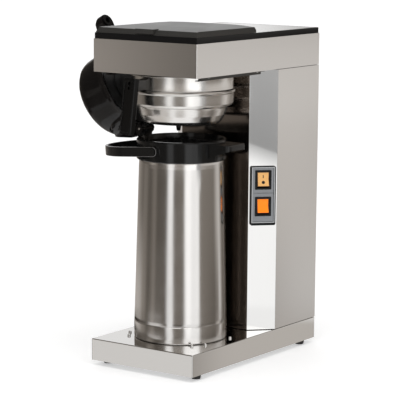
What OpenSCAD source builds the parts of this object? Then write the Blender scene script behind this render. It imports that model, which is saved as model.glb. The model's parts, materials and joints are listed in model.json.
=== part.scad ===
// Counter-top drip coffee maker that brews into a pump flask: a folded steel cabinet with a fill lid on top,
// a filter basket on rails under its head, and an insulated flask with an open pump lid on its base.
// Millimetres. The origin is on the table, midway between the feet: +X right, +Y to the back, +Z up.

/* [Cabinet] */
// Width of the cabinet
body_w = 205; // [195:1:215]
// Depth of the base, front to back
body_d = 365; // [355:1:385]
// Height from the table to the top of the black frame
body_h = 548; // [540:1:565]
// Thickness of the folded steel sheet
sheet = 1.2; // [0.8:0.1:1.6]
// Height of the base box
base_h = 36; // [30:1:42]
// Height of the head, its black frame included
head_h = 63; // [58:1:70]
// Distance that the head stands back from the front of the base
head_setback = 5.3; // [3:0.1:8]
// Depth of the column, from its front face to the back of the cabinet
column_d = 161; // [155:1:168]
// Width of each slanted corner strip of the column, measured across the cabinet
strip_x = 34; // [32:0.5:36]
// Depth of each slanted corner strip, measured front to back
strip_y = 35; // [33:0.5:37]
// Width of the folded flanges inside the cabinet
flange_w = 14; // [10:1:16]

/* [Feet] */
// Height of the base box above the table
foot_h = 8.5; // [6:0.5:12]
// Radius of a foot where it meets the base plate
foot_r = 9; // [8:0.5:12]
// Distance of the foot centres from the sides of the base
foot_inset = 13; // [12:0.5:20]
// Distance of the foot centres from the front and back of the base
foot_inset_y = 28; // [24:1:36]
// Radius of the threaded bore in each foot bush
bush_bore_r = 2.5; // [2:0.25:3]

/* [Top] */
// Height of the black frame around the top
frame_h = 9.5; // [8:0.5:11]
// Depth of the fill lid, front to back
lid_d = 168; // [155:1:175]
// Height of the fill lid at its hinge
lid_h = 12; // [11:0.5:14]
// Width of the finger tab on the front of the fill lid
tab_w = 35; // [28:1:42]
// Wall of the fill lid
lid_wall = 2.4; // [2:0.2:3]

/* [Filter basket] */
// Distance of the brewing axis from the front of the base
axis_from_front = 108.2; // [104:0.5:111]
// Radius of the basket's upper wall
basket_r = 84.5; // [80:0.5:86]
// Wall of the basket
basket_wall = 1.2; // [1:0.1:1.6]
// Height of the basket below its rim
basket_h = 80.5; // [76:0.5:82]
// Width of the rim flange that rides in the rails
rim_w = 5; // [4:0.5:6]
// Direction of the basket's handle, in degrees from +X
handle_turn = -103; // [-112:0.5:-88]
// Width of the grip
grip_w = 28; // [24:1:32]
// Depth of the grip
grip_t = 11; // [9:0.5:13]
// Height of the grip
grip_h = 90; // [80:1:94]
// Lean of the grip, in degrees from upright
grip_lean = 6.3; // [3:0.1:8]
// Distance of the grip's outer face from the basket's axis, at its top
grip_reach = 112; // [109:0.5:116]
// Length of the drip nozzle below the basket
nozzle_l = 14; // [10:0.5:16]
// Distance of the drip nozzle from the basket's axis, towards the handle
nozzle_off = 7; // [4:0.5:12]

/* [Pump flask] */
// Radius of the flask at its foot
flask_r = 76.8; // [74:0.2:78]
// Radius of the steel shell at its top
flask_top_r = 69.5; // [67:0.5:71]
// Open height left between the flask collar and the floor of the filter basket
drip_gap = 26.4; // [20:0.2:45]
// Height of the steel foot cup
flask_foot_h = 29; // [24:0.5:34]
// Outer radius of the collar
collar_r = 74; // [73:0.5:76]
// Height of the collar
collar_h = 34; // [32:0.5:36]
// Reach of the collar's nose from the flask's axis
nose_reach = 111; // [106:0.5:112]
// Width of the collar's nose
nose_w = 50; // [44:1:54]
// Radius of the mouth of the inner vessel
neck_r = 33; // [30:0.5:36]

/* [Flask handle] */
// Height of the bail's band
bail_h = 16; // [14:0.5:17]
// Thickness of the bail's band
bail_t = 4; // [3:0.25:4.5]
// Reach of the bail from the flask's axis
bail_reach = 137; // [133:1:142]
// Angle that the resting bail hangs below level
bail_drop = 4.5; // [3:0.5:6]

/* [Flask lid] */
// Angle that the pump lid stands open
lid_open = 117.7; // [116:0.1:119]
// Radius of the pump lid at its rim
cap_r = 71.3; // [70:0.1:72]
// Height of the pump lid
cap_h = 63.5; // [60:0.5:65]
// Wall of the pump lid
cap_wall = 2.4; // [2:0.2:3]
// Height of the lid hinge above the collar
cap_hinge_h = 10.3; // [9.5:0.1:11]
// Radius of the pump button
button_r = 30; // [26:0.5:34]
// Travel of the pump button
button_travel = 14; // [10:1:18]
// Reach of the spout from the lid's axis
spout_reach = 128; // [125:1:132]
// Width of the spout
spout_w = 30; // [26:1:34]

/* [Switches] */
// Width of the switch bezel
bezel_w = 43; // [40:0.5:44]
// Height of the switch bezel
bezel_h = 99.5; // [97:0.5:104]
// Height of the bezel's centre above the table
bezel_z = 273.8; // [260:0.2:290]
// Distance between the two rockers, centre to centre
rocker_pitch = 44.8; // [43:0.2:46]
// Width of a rocker
rocker_w = 20; // [18:0.5:21]
// Height of a rocker
rocker_h = 24; // [22:0.5:25]
// Tilt of a rocker from its middle position
rocker_tilt = 9; // [7:0.5:11]

/* [Water system] */
// Radius of the boiler
boiler_r = 32; // [28:0.5:34]
// Height of the boiler
boiler_h = 90; // [80:1:100]
// Height of the water tank
tank_h = 188; // [170:1:190]
// Radius of the water pipes
pipe_r = 5; // [4:0.25:6]
// Bore of the cable gland
cable_r = 4; // [3:0.25:4.5]

/* [Clearances] */
// Gap between pieces that move past each other
gap = 0.3; // [0.25:0.05:0.4]
// Radial clearance of a pin in the bore that turns on it
pin_gap = 0.05; // [0.03:0.01:0.08]

/* [Hidden] */
$fn = 96;
FULL = body_w + body_d; // longer than any wall that a cut goes through

// Cabinet planes
x_side = body_w / 2;
y_front = -body_d / 2;
y_back = body_d / 2;
z_base = foot_h;
z_deck = foot_h + base_h;
z_frame = body_h - frame_h;
z_head = body_h - head_h;
y_head = y_front + head_setback;
y_column = y_back - column_d;
y_strip = y_column + strip_y;
x_flat = x_side - strip_x;
strip_angle = atan2(strip_y, strip_x);
y_axis = y_front + axis_from_front;

// Base
plate_t = 2;
plate_gap = 0.2;
z_plate = z_base + 2;
pillar_r = 5;
pillar_hole_r = 2;
pillar_x = x_side - 32;
pillar_y = y_back - 60;
foot_x = x_side - foot_inset;
foot_y = y_back - foot_inset_y;
bush_r = bush_bore_r + 2;
bush_flange_r = bush_r + 1.2;
bush_flange_t = 1.2;
bush_z = 2;
stud_r = 2.6;
stud_h = 3.4;
stud_circle = flask_r + 8.7;
stud_turns = [-154.5, -138.5, -41.5, -25.5, 20, 160];

// Screws of the back cover
back_screw_x = x_side - sheet - flange_w / 2;
back_screw_z = [for (i = [0 : 3]) z_deck + 18 + i * (z_head - z_deck - 36) / 3];
back_screw_r = 1.5;

// Rails and basket heights
rail_drop = 6.3;
rail_x = basket_r + rim_w + 1.5;
rail_lip = 6;
rail_flange = 9;
rail_y0 = y_head + 20;
rail_y1 = y_column - 3;
rail_screw_x = rail_x + (sheet + rail_flange) / 2;
rail_screw_y = [rail_y0 + 22, rail_y1 - 17];
rail_screw_r = 1.5;
z_rim = z_head - rail_drop + sheet + 0.3;
rim_t = 2;
z_basket = z_rim + rim_t - basket_h;
drip_r = 4;
rack_r = basket_r - 14;
rack_low_r = rack_r - 14.5;
grip_top = -1;
neck_z0 = -21;
neck_z1 = -5;
neck_w = 18;
neck_wall = 2;
grip_screw_z = [neck_z0 + 4.5, neck_z1 - 4.5];
grip_screw_r = 1.5;

// Flask heights
z_flask = z_deck + gap;
z_collar_top = z_basket - drip_gap;
z_shell_top = z_collar_top - collar_h;
flask_h = z_shell_top - z_flask;
shell_t = 1.2;
foot_wall = shell_t + 0.6;
stopper_r = neck_r + 6;
dip_x = 18;
dip_r = 3.5;

// Bail: its pivots stand on bosses of the collar, and its arms rest on two ledges
bail_z = z_shell_top + 18.5;
boss_r = 9;
boss_y = collar_r + 3;
bail_arm_y = boss_y + gap + bail_t / 2;
bail_pin_r = 3;
ledge_x = -25;
ledge_z = bail_z - bail_h / 2 + ledge_x * tan(bail_drop) - gap;

// Pump lid: heights counted from its rim start with h_
cap_hinge_x = -75;
cap_hinge_z = z_collar_top + cap_hinge_h;
h_hinge = cap_hinge_h - gap;
h_shelf = 9;
hinge_pin_r = 2;
hinge_w = 22;
barrel_r = 6.5;
barrel_w = 34;
hump_w = 60;
hump_x = cap_hinge_x - 8.5;
well_r = button_r + gap;
well_h = 22;
outlet_x = spout_reach - 11;
outlet_r = 8;
bellows_r = 34;
button_rise = 3;
button_skirt = 20;

// Switch positions, up and down from the bezel's centre
rocker_offset = 4.5;
housing_w = rocker_w + 5.5;
housing_h = rocker_h + 6.5;
rocker_z = [bezel_z + rocker_offset + rocker_pitch / 2, bezel_z + rocker_offset - rocker_pitch / 2];
rocker_pivot = -2;
panel_t = 3;

// Water system
tank_x = 75;
tank_y0 = y_strip + 26;
tank_y1 = y_back - 10;
tank_t = 1.5;
z_tank = z_frame - 7.5 - tank_h;
boiler_y = (tank_y0 + tank_y1) / 2 - 17;
z_boiler = z_deck + 16;
z_thermostat = z_boiler + 60;
z_cutout = z_boiler + 33;
pipe_wall = 1.5;
port_x = 17;
riser_x = -40;
riser_y = y_strip + 10;
z_pipe = z_head + 16;
rose_r = 36;
rose_h = 9;

// Fill opening and lid
frame_inset = 1.5;
frame_wall = 9;
skirt_h = 4;
fill_x = 66;
fill_y0 = y_head + frame_inset + 14;
lid_y0 = y_head + frame_inset + 1;
lid_axis_y = lid_y0 + lid_d - 4.3;
lid_axis_z = body_h + gap + 4.2;
fill_y1 = lid_axis_y - 22;
ear_x = 70;
ear_t = 8;
ear_r = 3.8;
lid_pin_r = 1.75;
seat_inset = 5;
seat_y = lid_axis_y + 7;
tray_x = fill_x + 3;
tray_t = 2;
tray_drop = 14;

// Wiring
block_x = 46;
block_y = y_back - 44;
block_d = 22;
block_h = 16;
block_pitch = 10.3;
gland_x = 62;
gland_z = z_deck + 24;
gland_r = 8;
lead_r = 1.3;
tag_x = 7;
tag_l = 34.5;
tab_x = 4;
heater_x = 10;

// A point on an arc about [x, y]
function arc(x, y, r, a0, a1, n = 8) = [
    for (i = [0 : n]) let (a = a0 + (a1 - a0) * i / n) [x + r * cos(a), y + r * sin(a)]
];

// A closed wall profile: a line of [radius, height] points and the same line moved inwards
function wall_profile(pts, t) = concat(pts, [for (i = [len(pts) - 1 : -1 : 0]) [pts[i].x - t, pts[i].y]]);

// Rounded rectangle centred on the origin
module round_rect(w, h, r) {
    square([w - 2 * r, h], center = true);
    square([w, h - 2 * r], center = true);
    for (x = [-1, 1], y = [-1, 1])
        translate([x * (w / 2 - r), y * (h / 2 - r)]) circle(r, $fn = 32);
}

// Plan of a tongue that reaches out along +X from x0, its free corners rounded
module tongue(x0, reach, w, r) {
    translate([x0, -w / 2]) square([reach - r - x0, w]);
    translate([x0, -w / 2 + r]) square([reach - x0, w - 2 * r]);
    for (s = [-1, 1])
        translate([reach - r, s * (w / 2 - r)]) circle(r, $fn = 48);
}

// Box from its lowest corner to its highest corner
module span(a, b) {
    translate(a) cube(b - a);
}

// Stands its children on the outer face of the right corner strip: X along it, Y up, Z outwards
module on_strip(z) {
    translate([x_side - strip_x / 2, y_column + strip_y / 2, z]) rotate([90, 0, strip_angle]) children();
}

// Places children at the brewing axis
module on_axis(z = 0) {
    translate([0, y_axis, z]) children();
}

// A round pipe that follows a line of points, with a round knuckle at each bend
module pipe(points, r) {
    for (i = [0 : len(points) - 2]) {
        run = points[i + 1] - points[i];
        turn = [0, acos(run.z / norm(run)), atan2(run.y, run.x)];
        translate(points[i]) rotate(turn) cylinder(h = norm(run), r = r, $fn = 32);
        if (i > 0) translate(points[i]) rotate(turn) sphere(r * 1.12, $fn = 32);
    }
}

// Turns its children from the closed place of the pump lid to its open rest place
module open_cap() {
    translate([cap_hinge_x, y_axis, cap_hinge_z]) rotate([0, -lid_open, 0])
        translate([-cap_hinge_x, 0, -h_hinge]) children();
}

// A pan-head screw pointing down its own -Z, its head above the origin
module screw(r, l, head_r = 0, head_t = 0) {
    big = head_r > 0 ? head_r : r * 1.9;
    tall = head_t > 0 ? head_t : r * 1.1;
    difference() {
        union() {
            cylinder(h = tall, r = big, $fn = 32);
            translate([0, 0, -l]) cylinder(h = l, r = r, $fn = 32);
        }
        translate([0, 0, tall - 0.6]) {
            cube([big * 1.3, 0.8, 2], center = true);
            cube([0.8, big * 1.3, 2], center = true);
        }
    }
}

// ---- Base -------------------------------------------------------------------------------------

module base_pan() {
    color("silver") difference() {
        span([-x_side, y_front, z_base], [x_side, y_back, z_deck]);
        span([-x_side + sheet, y_front + sheet, z_base - 1],
            [x_side - sheet, y_back - sheet, z_deck - sheet]);
    }
}

module base_plate() {
    inner = sheet + plate_gap;
    color("gray") difference() {
        span([-x_side + inner, y_front + inner, z_plate],
            [x_side - inner, y_back - inner, z_plate + plate_t]);
        for (x = [-foot_x, foot_x], y = [-foot_y, foot_y])
            translate([x, y, z_plate - 1]) cylinder(h = plate_t + 2, r = bush_r);
        for (x = [-pillar_x, pillar_x], y = [-pillar_y, pillar_y])
            translate([x, y, z_plate - 1]) cylinder(h = plate_t + 2, r = pillar_hole_r);
    }
}

module base_pillars() {
    color("silver") for (x = [-pillar_x, pillar_x], y = [-pillar_y, pillar_y])
        translate([x, y, z_plate + plate_t]) difference() {
            cylinder(h = z_deck - sheet - z_plate - plate_t, r = pillar_r, $fn = 6);
            translate([0, 0, -1]) cylinder(h = 13, r = pillar_hole_r);
        }
}

module plate_screws() {
    color("darkgray") for (x = [-pillar_x, pillar_x], y = [-pillar_y, pillar_y])
        translate([x, y, z_plate]) mirror([0, 0, 1]) screw(pillar_hole_r, plate_t + 9, 3.8, 1.6);
}

module rubber_feet() {
    color("black") for (x = [-foot_x, foot_x], y = [-foot_y, foot_y])
        translate([x, y, 0]) rotate_extrude()
            polygon([
                [bush_flange_r, 0], [foot_r - 2.3, 0], [foot_r - 1.8, 0.5], [foot_r, z_plate - 0.5],
                [foot_r, z_plate], [bush_r, z_plate], [bush_r, bush_z + bush_flange_t],
                [bush_flange_r, bush_z + bush_flange_t]
            ]);
}

// Flanged threaded tubes that hold the feet on, open from below
module foot_bushes() {
    color("gold") for (x = [-foot_x, foot_x], y = [-foot_y, foot_y])
        translate([x, y, 0]) rotate_extrude()
            polygon([
                [bush_bore_r, bush_z], [bush_flange_r, bush_z], [bush_flange_r, bush_z + bush_flange_t],
                [bush_r, bush_z + bush_flange_t], [bush_r, z_plate + plate_t],
                [bush_flange_r, z_plate + plate_t], [bush_flange_r, z_plate + plate_t + 1.5],
                [bush_bore_r, z_plate + plate_t + 1.5]
            ]);
}

// Domed pins that centre the flask on the deck
module locating_studs() {
    color("dimgray") for (turn = stud_turns)
        on_axis(z_deck) rotate(turn) translate([stud_circle, 0, 0]) rotate_extrude()
            polygon(concat([[0, 0], [stud_r, 0], [stud_r, stud_h - 2]],
                arc(stud_r - 2, stud_h - 2, 2, 0, 90), [[0, stud_h]]));
}

// ---- Column -----------------------------------------------------------------------------------

// Half of the folded column profile, on the right
module column_half() {
    mitre = sheet * tan(strip_angle / 2);
    slant = sheet / sin(strip_angle);
    polygon([
        [0, y_column], [x_flat, y_column], [x_side, y_strip], [x_side - slant, y_strip],
        [x_flat - mitre, y_column + sheet], [0, y_column + sheet]
    ]);
    // flange that the side panel is screwed to
    polygon([
        [x_side - sheet, y_strip], [x_side - sheet, y_strip + flange_w],
        [x_side - 2 * sheet, y_strip + flange_w], [x_side - 2 * sheet, y_strip - 1],
            [x_side - slant - 0.3, y_strip - 1]
    ]);
}

module column_front() {
    color("lightgray") difference() {
        translate([0, 0, z_deck]) linear_extrude(z_head - z_deck) {
            column_half();
            mirror([1, 0]) column_half();
        }
        on_strip(bezel_z + rocker_offset)
            cube([housing_w + 1, rocker_pitch + housing_h + 1, 20], center = true);
    }
}

// Side panel on the right, with a flange turned in at the back
module side_panel() {
    span([x_side - sheet, y_strip, z_deck], [x_side, y_back - sheet, z_head]);
    difference() {
        span([x_side - sheet - flange_w, y_back - 2 * sheet, z_deck],
            [x_side - sheet, y_back - sheet, z_head]);
        for (z = back_screw_z)
            translate([back_screw_x, y_back - sheet, z]) rotate([90, 0, 0])
                cylinder(h = 20, r = back_screw_r, center = true);
    }
}

module right_side_panel() {
    color("silver") side_panel();
}

module left_side_panel() {
    color("silver") mirror([1, 0, 0]) side_panel();
}

module back_cover() {
    vent_w = 60;
    color("silver") difference() {
        span([-x_side, y_back - sheet, z_deck], [x_side, y_back, z_head]);
        for (x = [-back_screw_x, back_screw_x], z = back_screw_z)
            translate([x, y_back, z]) rotate([90, 0, 0]) cylinder(h = 20, r = back_screw_r, center = true);
        translate([gland_x, y_back, gland_z]) rotate([90, 0, 0])
            cylinder(h = 20, r = gland_r, center = true);
        for (row = [0 : 7])
            translate([0, y_back, z_head - 60 - row * 10]) cube([vent_w, 20, 3], center = true);
    }
}

module back_screws() {
    color("darkgray") for (x = [-back_screw_x, back_screw_x], z = back_screw_z)
        translate([x, y_back, z]) rotate([-90, 0, 0]) screw(back_screw_r, 8, 3, 1.8);
}

// ---- Head -------------------------------------------------------------------------------------

module head_shell() {
    color("silver") difference() {
        span([-x_side, y_head, z_head], [x_side, y_back, z_frame]);
        span([-x_side + sheet, y_head + sheet, z_head - 1], [x_side - sheet, y_back - sheet, z_frame + 1]);
    }
}

module head_soffit() {
    color("gray") difference() {
        span([-x_side + sheet, y_head + sheet, z_head], [x_side - sheet, y_strip, z_head + sheet]);
        on_axis(z_head - 1) cylinder(h = 5, r = rose_r + gap);
        for (x = [-rail_screw_x, rail_screw_x], y = rail_screw_y)
            translate([x, y, z_head - 1]) cylinder(h = 5, r = rail_screw_r);
    }
}

// One rail on the right: a lip below, a web, and a flange screwed to the soffit
module rail() {
    z0 = z_head - rail_drop;
    difference() {
        union() {
            span([rail_x - rail_lip, rail_y0, z0], [rail_x + sheet, rail_y1, z0 + sheet]);
            span([rail_x, rail_y0, z0], [rail_x + sheet, rail_y1, z_head]);
            span([rail_x, rail_y0, z_head - sheet], [rail_x + rail_flange, rail_y1, z_head]);
        }
        for (y = rail_screw_y)
            translate([rail_screw_x, y, z_head - 3]) cylinder(h = 5, r = rail_screw_r);
    }
}

module basket_rails() {
    color("dimgray") {
        rail();
        mirror([1, 0, 0]) rail();
    }
}

module rail_screws() {
    color("darkgray") for (x = [-rail_screw_x, rail_screw_x], y = rail_screw_y)
        translate([x, y, z_head - sheet]) mirror([0, 0, 1]) screw(rail_screw_r, 2 * sheet + 4, 2.6, 1.4);
}

// Shower plate over the coffee, hung on the end of the pipe
module spray_head() {
    z0 = z_rim + rim_t + 0.5;
    color("whitesmoke") on_axis(z0) difference() {
        union() {
            cylinder(h = rose_h, r = rose_r);
            translate([0, 0, rose_h]) cylinder(h = z_pipe - z0 - rose_h - pipe_r, r = pipe_r + 3);
        }
        translate([0, 0, 1.6]) cylinder(h = rose_h - 3.4, r = rose_r - 2);
        translate([0, 0, 1.6]) cylinder(h = 60, r = pipe_r);
        for (ring = [1 : 3], i = [0 : 4 * ring - 1])
            rotate(i * 90 / ring) translate([ring * 10, 0, -1]) cylinder(h = 4, r = 1.2, $fn = 24);
    }
}

// Riser from the boiler, and the arm that brings hot water over the basket
module spray_pipe() {
    route = [
        [-port_x, boiler_y, z_boiler + boiler_h + 8], [-port_x, boiler_y, z_boiler + boiler_h + 40],
        [riser_x, riser_y, z_boiler + boiler_h + 40], [riser_x, riser_y, z_pipe], [0, y_axis, z_pipe],
        [0, y_axis, z_pipe - pipe_r - 4]
    ];
    color("lightgray") pipe(route, pipe_r);
}

// ---- Top --------------------------------------------------------------------------------------

// Black moulded frame that closes the head, with the fill opening at the front and a recess for the top plate
module top_frame() {
    inset = frame_inset;
    ear_h = lid_axis_z - body_h + 1;
    color("#2b2b2b") difference() {
        union() {
            span([-x_side + inset, y_head + inset, z_frame], [x_side - inset, y_back - inset, body_h]);
            span([-x_side + sheet, y_head + sheet, z_frame - skirt_h],
                [x_side - sheet, y_back - sheet, z_frame]);
            for (x = [-ear_x, ear_x])
                translate([x - ear_t / 2, lid_axis_y, body_h - 1]) {
                    translate([0, -3, 0]) cube([ear_t, 6, ear_h]);
                    translate([0, 0, ear_h]) rotate([0, 90, 0]) cylinder(h = ear_t, r = ear_r);
                }
        }
        // the fill opening
        span([-fill_x, fill_y0, z_frame - 10], [fill_x, fill_y1, body_h + 1]);
        // the open underside behind it
        span([-x_side + frame_wall, lid_axis_y + 12, z_frame - 10],
             [x_side - frame_wall, y_back - frame_wall, body_h - 5]);
        // the seat of the top plate, and the hole under it
        span([-x_side + seat_inset, seat_y, body_h - sheet],
             [x_side - seat_inset, y_back - seat_inset, body_h + 1]);
        span([-x_side + 14, seat_y + 11, body_h - 6], [x_side - 14, y_back - 14, body_h + 1]);
        for (x = [-ear_x, ear_x])
            translate([x, lid_axis_y, lid_axis_z]) rotate([0, 90, 0])
                cylinder(h = ear_t + 2, r = lid_pin_r, center = true);
    }
}

module top_plate() {
    side = seat_inset + plate_gap;
    color("silver")
        span([-x_side + side, seat_y + plate_gap, body_h - sheet], [x_side - side, y_back - side, body_h]);
}

module fill_lid_pins() {
    color("lightgray") for (x = [-ear_x, ear_x])
        translate([x, lid_axis_y, lid_axis_z]) rotate([0, 90, 0])
            cylinder(h = ear_t + 10, r = lid_pin_r, center = true);
}

// Side view of the fill lid: a low sloped nose at the front, the round of its hinge at the back
function lid_side(inset) = let (top = body_h + gap + lid_h, y1 = lid_axis_y + 4.3) concat(
    [[lid_y0 + inset, body_h + gap + (inset > 0 ? -1 : 0)], [lid_y0 + 5 + inset, top - 3.6 - inset],
        [lid_y0 + 60, top - 0.9 - inset]],
    [[lid_axis_y - 30, top - inset]],
    arc(y1 - 7.5, lid_axis_z + 0.3, 7.5 - inset, 85, 0, 6),
    arc(lid_axis_y, lid_axis_z, 4.3 - inset, -10, -90, 6)
);

// Front view of the fill lid: sloped sides and a slightly crowned top
function lid_front(inset) = let (top = body_h + gap + lid_h, w = x_side - 2 - inset) [
    [-w, body_h + gap - (inset > 0 ? 1 : 0)], [-w + 4, top - 3.2 - inset], [-w + 30, top - 1 - inset],
    [-w + 62, top - inset], [w - 62, top - inset], [w - 30, top - 1 - inset], [w - 4, top - 3.2 - inset],
    [w, body_h + gap - (inset > 0 ? 1 : 0)]
];

module lid_solid(inset) {
    intersection() {
        rotate([90, 0, 90]) linear_extrude(2 * x_side, center = true) polygon(lid_side(inset));
        translate([0, FULL / 2, 0]) rotate([90, 0, 0]) linear_extrude(FULL * 2, center = true)
            polygon(lid_front(inset));
    }
}

module fill_lid() {
    lug = 7;
    color("#5a5855") difference() {
        union() {
            difference() {
                lid_solid(0);
                difference() {
                    lid_solid(lid_wall);
                    for (x = [-ear_x, ear_x], s = [-1, 1])
                        translate([x + s * (ear_t / 2 + gap + lug / 2), lid_axis_y, lid_axis_z])
                            cube([lug, 12, 20], center = true);
                }
            }
            // finger tab at the front edge
            span([-tab_w / 2, lid_y0 - 2.5, body_h + gap + 2.2],
                [tab_w / 2, lid_y0 + 12, body_h + gap + lid_h - 2.2]);
        }
        for (x = [-ear_x, ear_x]) {
            translate([x, lid_axis_y, lid_axis_z]) rotate([0, 90, 0])
                cylinder(h = ear_t + 11, r = lid_pin_r + pin_gap, center = true);
            translate([x - ear_t / 2 - gap, lid_axis_y - 7, body_h - 1])
                cube([ear_t + 2 * gap, 14, lid_axis_z + 4.4 - body_h + 1]);
        }
    }
}

// Sloped trough under the fill opening that leads the water back to the tank
module fill_tray() {
    z0 = z_frame - skirt_h;
    y0 = fill_y0 - 6;
    y1 = tank_y0 + 12;
    t = tray_t;
    color("lightgray") difference() {
        rotate([90, 0, 90]) linear_extrude(2 * tray_x, center = true)
            polygon([[y0, z0], [y0, z0 - 8], [y1, z0 - tray_drop], [y1, z0]]);
        rotate([90, 0, 90]) linear_extrude(2 * (tray_x - t), center = true)
            polygon([[y0 + t, z0 + 1], [y0 + t, z0 - 8 + t], [y1 + 1, z0 - tray_drop + t],
                [y1 + 1, z0 + 1]]);
    }
}

// Slotted grid in the fill opening
module fill_strainer() {
    bars = 14;
    z0 = z_frame - 2;
    pitch = (fill_y1 - fill_y0) / (bars + 1);
    color("gray") difference() {
        span([-fill_x, fill_y0, z0], [fill_x, fill_y1, z0 + 2.5]);
        for (i = [1 : bars], s = [-1, 1])
            translate([s * fill_x / 2, fill_y0 + i * pitch, z0])
                cube([fill_x - 12, pitch * 0.5, 10], center = true);
    }
}

// ---- Water system -----------------------------------------------------------------------------

module water_tank() {
    color("gainsboro") difference() {
        union() {
            span([-tank_x, tank_y0, z_tank], [tank_x, tank_y1, z_tank + tank_h]);
            translate([port_x, boiler_y, z_tank - 10]) cylinder(h = 11, r = pipe_r + 1.5);
        }
        span([-tank_x + tank_t, tank_y0 + tank_t, z_tank + tank_t],
            [tank_x - tank_t, tank_y1 - tank_t, z_tank + tank_h + 1]);
        translate([port_x, boiler_y, z_tank - 11]) cylinder(h = 20, r = pipe_r - pipe_wall);
        // notch that takes the end of the trough
        span([-tray_x - gap, tank_y0 - 1, z_frame - skirt_h - tray_drop - gap],
             [tray_x + gap, tank_y0 + tank_t + 1, z_frame]);
    }
}

module tank_shelf() {
    color("gray") difference() {
        span([-x_side + sheet, tank_y0 - 4, z_tank - sheet],
            [x_side - sheet, y_back - 2 * sheet - flange_w, z_tank]);
        translate([port_x, boiler_y, z_tank - 5]) cylinder(h = 20, r = pipe_r + 1.5);
    }
}

module outlet_hose() {
    color("#c8c8c0") difference() {
        translate([port_x, boiler_y, z_boiler + boiler_h])
            cylinder(h = z_tank - 10 - z_boiler - boiler_h, r = pipe_r + 1.5);
        translate([port_x, boiler_y, z_boiler + boiler_h - 1]) cylinder(h = FULL, r = pipe_r - pipe_wall);
    }
}

module boiler() {
    leg = 26;
    color("lightsteelblue") difference() {
        union() {
            translate([0, boiler_y, z_boiler]) cylinder(h = boiler_h, r = boiler_r);
            translate([-port_x, boiler_y, z_boiler + boiler_h - 1]) cylinder(h = 9, r = pipe_r + 2);
            for (a = [45 : 90 : 315])
                translate([leg * cos(a), boiler_y + leg * sin(a), z_deck])
                    cylinder(h = z_boiler - z_deck + 1, r = 4, $fn = 32);
            // flat pads for the thermostat and the thermal cut-out
            span([-12, boiler_y - boiler_r - 3, z_boiler + 20],
                [12, boiler_y - boiler_r + 8, z_boiler + 72]);
        }
        translate([0, boiler_y, z_boiler + 2]) cylinder(h = boiler_h - 4, r = boiler_r - 2);
        for (x = [-port_x, port_x])
            translate([x, boiler_y, z_boiler + boiler_h - 4]) cylinder(h = 20, r = pipe_r - pipe_wall);
        translate([0, boiler_y, z_boiler - 1]) cylinder(h = 6, r = 16);
    }
}

// Heater flange with a hairpin element inside the boiler and two terminals below it
module heating_element() {
    color("darkgoldenrod") translate([0, boiler_y, z_boiler]) {
        translate([0, 0, -3]) cylinder(h = 3, r = boiler_r - 10);
        cylinder(h = 2, r = boiler_r / 2);
        for (x = [-heater_x, heater_x]) {
            translate([x, 0, 1]) cylinder(h = 50, r = 3.2, $fn = 32);
            translate([x, 0, -9]) cylinder(h = 7, r = 2.2, $fn = 32);
        }
        translate([0, 0, 51]) rotate([90, 0, 0]) rotate_extrude(angle = 180)
            translate([heater_x, 0]) circle(3.2, $fn = 32);
    }
}

module round_control(z) {
    translate([0, boiler_y - boiler_r - 3, z]) rotate([90, 0, 0]) {
        cylinder(h = 3, r = 10.5);
        cylinder(h = 9, r = 8);
        for (x = [-tab_x, tab_x])
            translate([x, 0, 11]) cube([0.8, 5, 5], center = true);
    }
}

module thermostat() {
    color("ivory") round_control(z_thermostat);
}

module thermal_cutout() {
    color("tan") round_control(z_cutout);
}

module terminal_block() {
    color("ivory") difference() {
        span([block_x, block_y, z_deck], [block_x + 4.3 * block_pitch, block_y + block_d, z_deck + block_h]);
        for (i = [0 : 3])
            translate([pad_x(i), block_y + block_d / 2, z_deck + 12]) cylinder(h = 10, r = 3.2, $fn = 32);
    }
}

// Middle of one of the terminal block's pads
function pad_x(i) = block_x + (i + 0.65) * block_pitch;

// A point behind the corner strip: along it, inwards from its face, and up
function behind_strip(along, inwards, z) = [
    x_side - strip_x / 2 + along * cos(strip_angle) - inwards * sin(strip_angle),
    y_column + strip_y / 2 + along * sin(strip_angle) + inwards * cos(strip_angle), z
];

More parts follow.
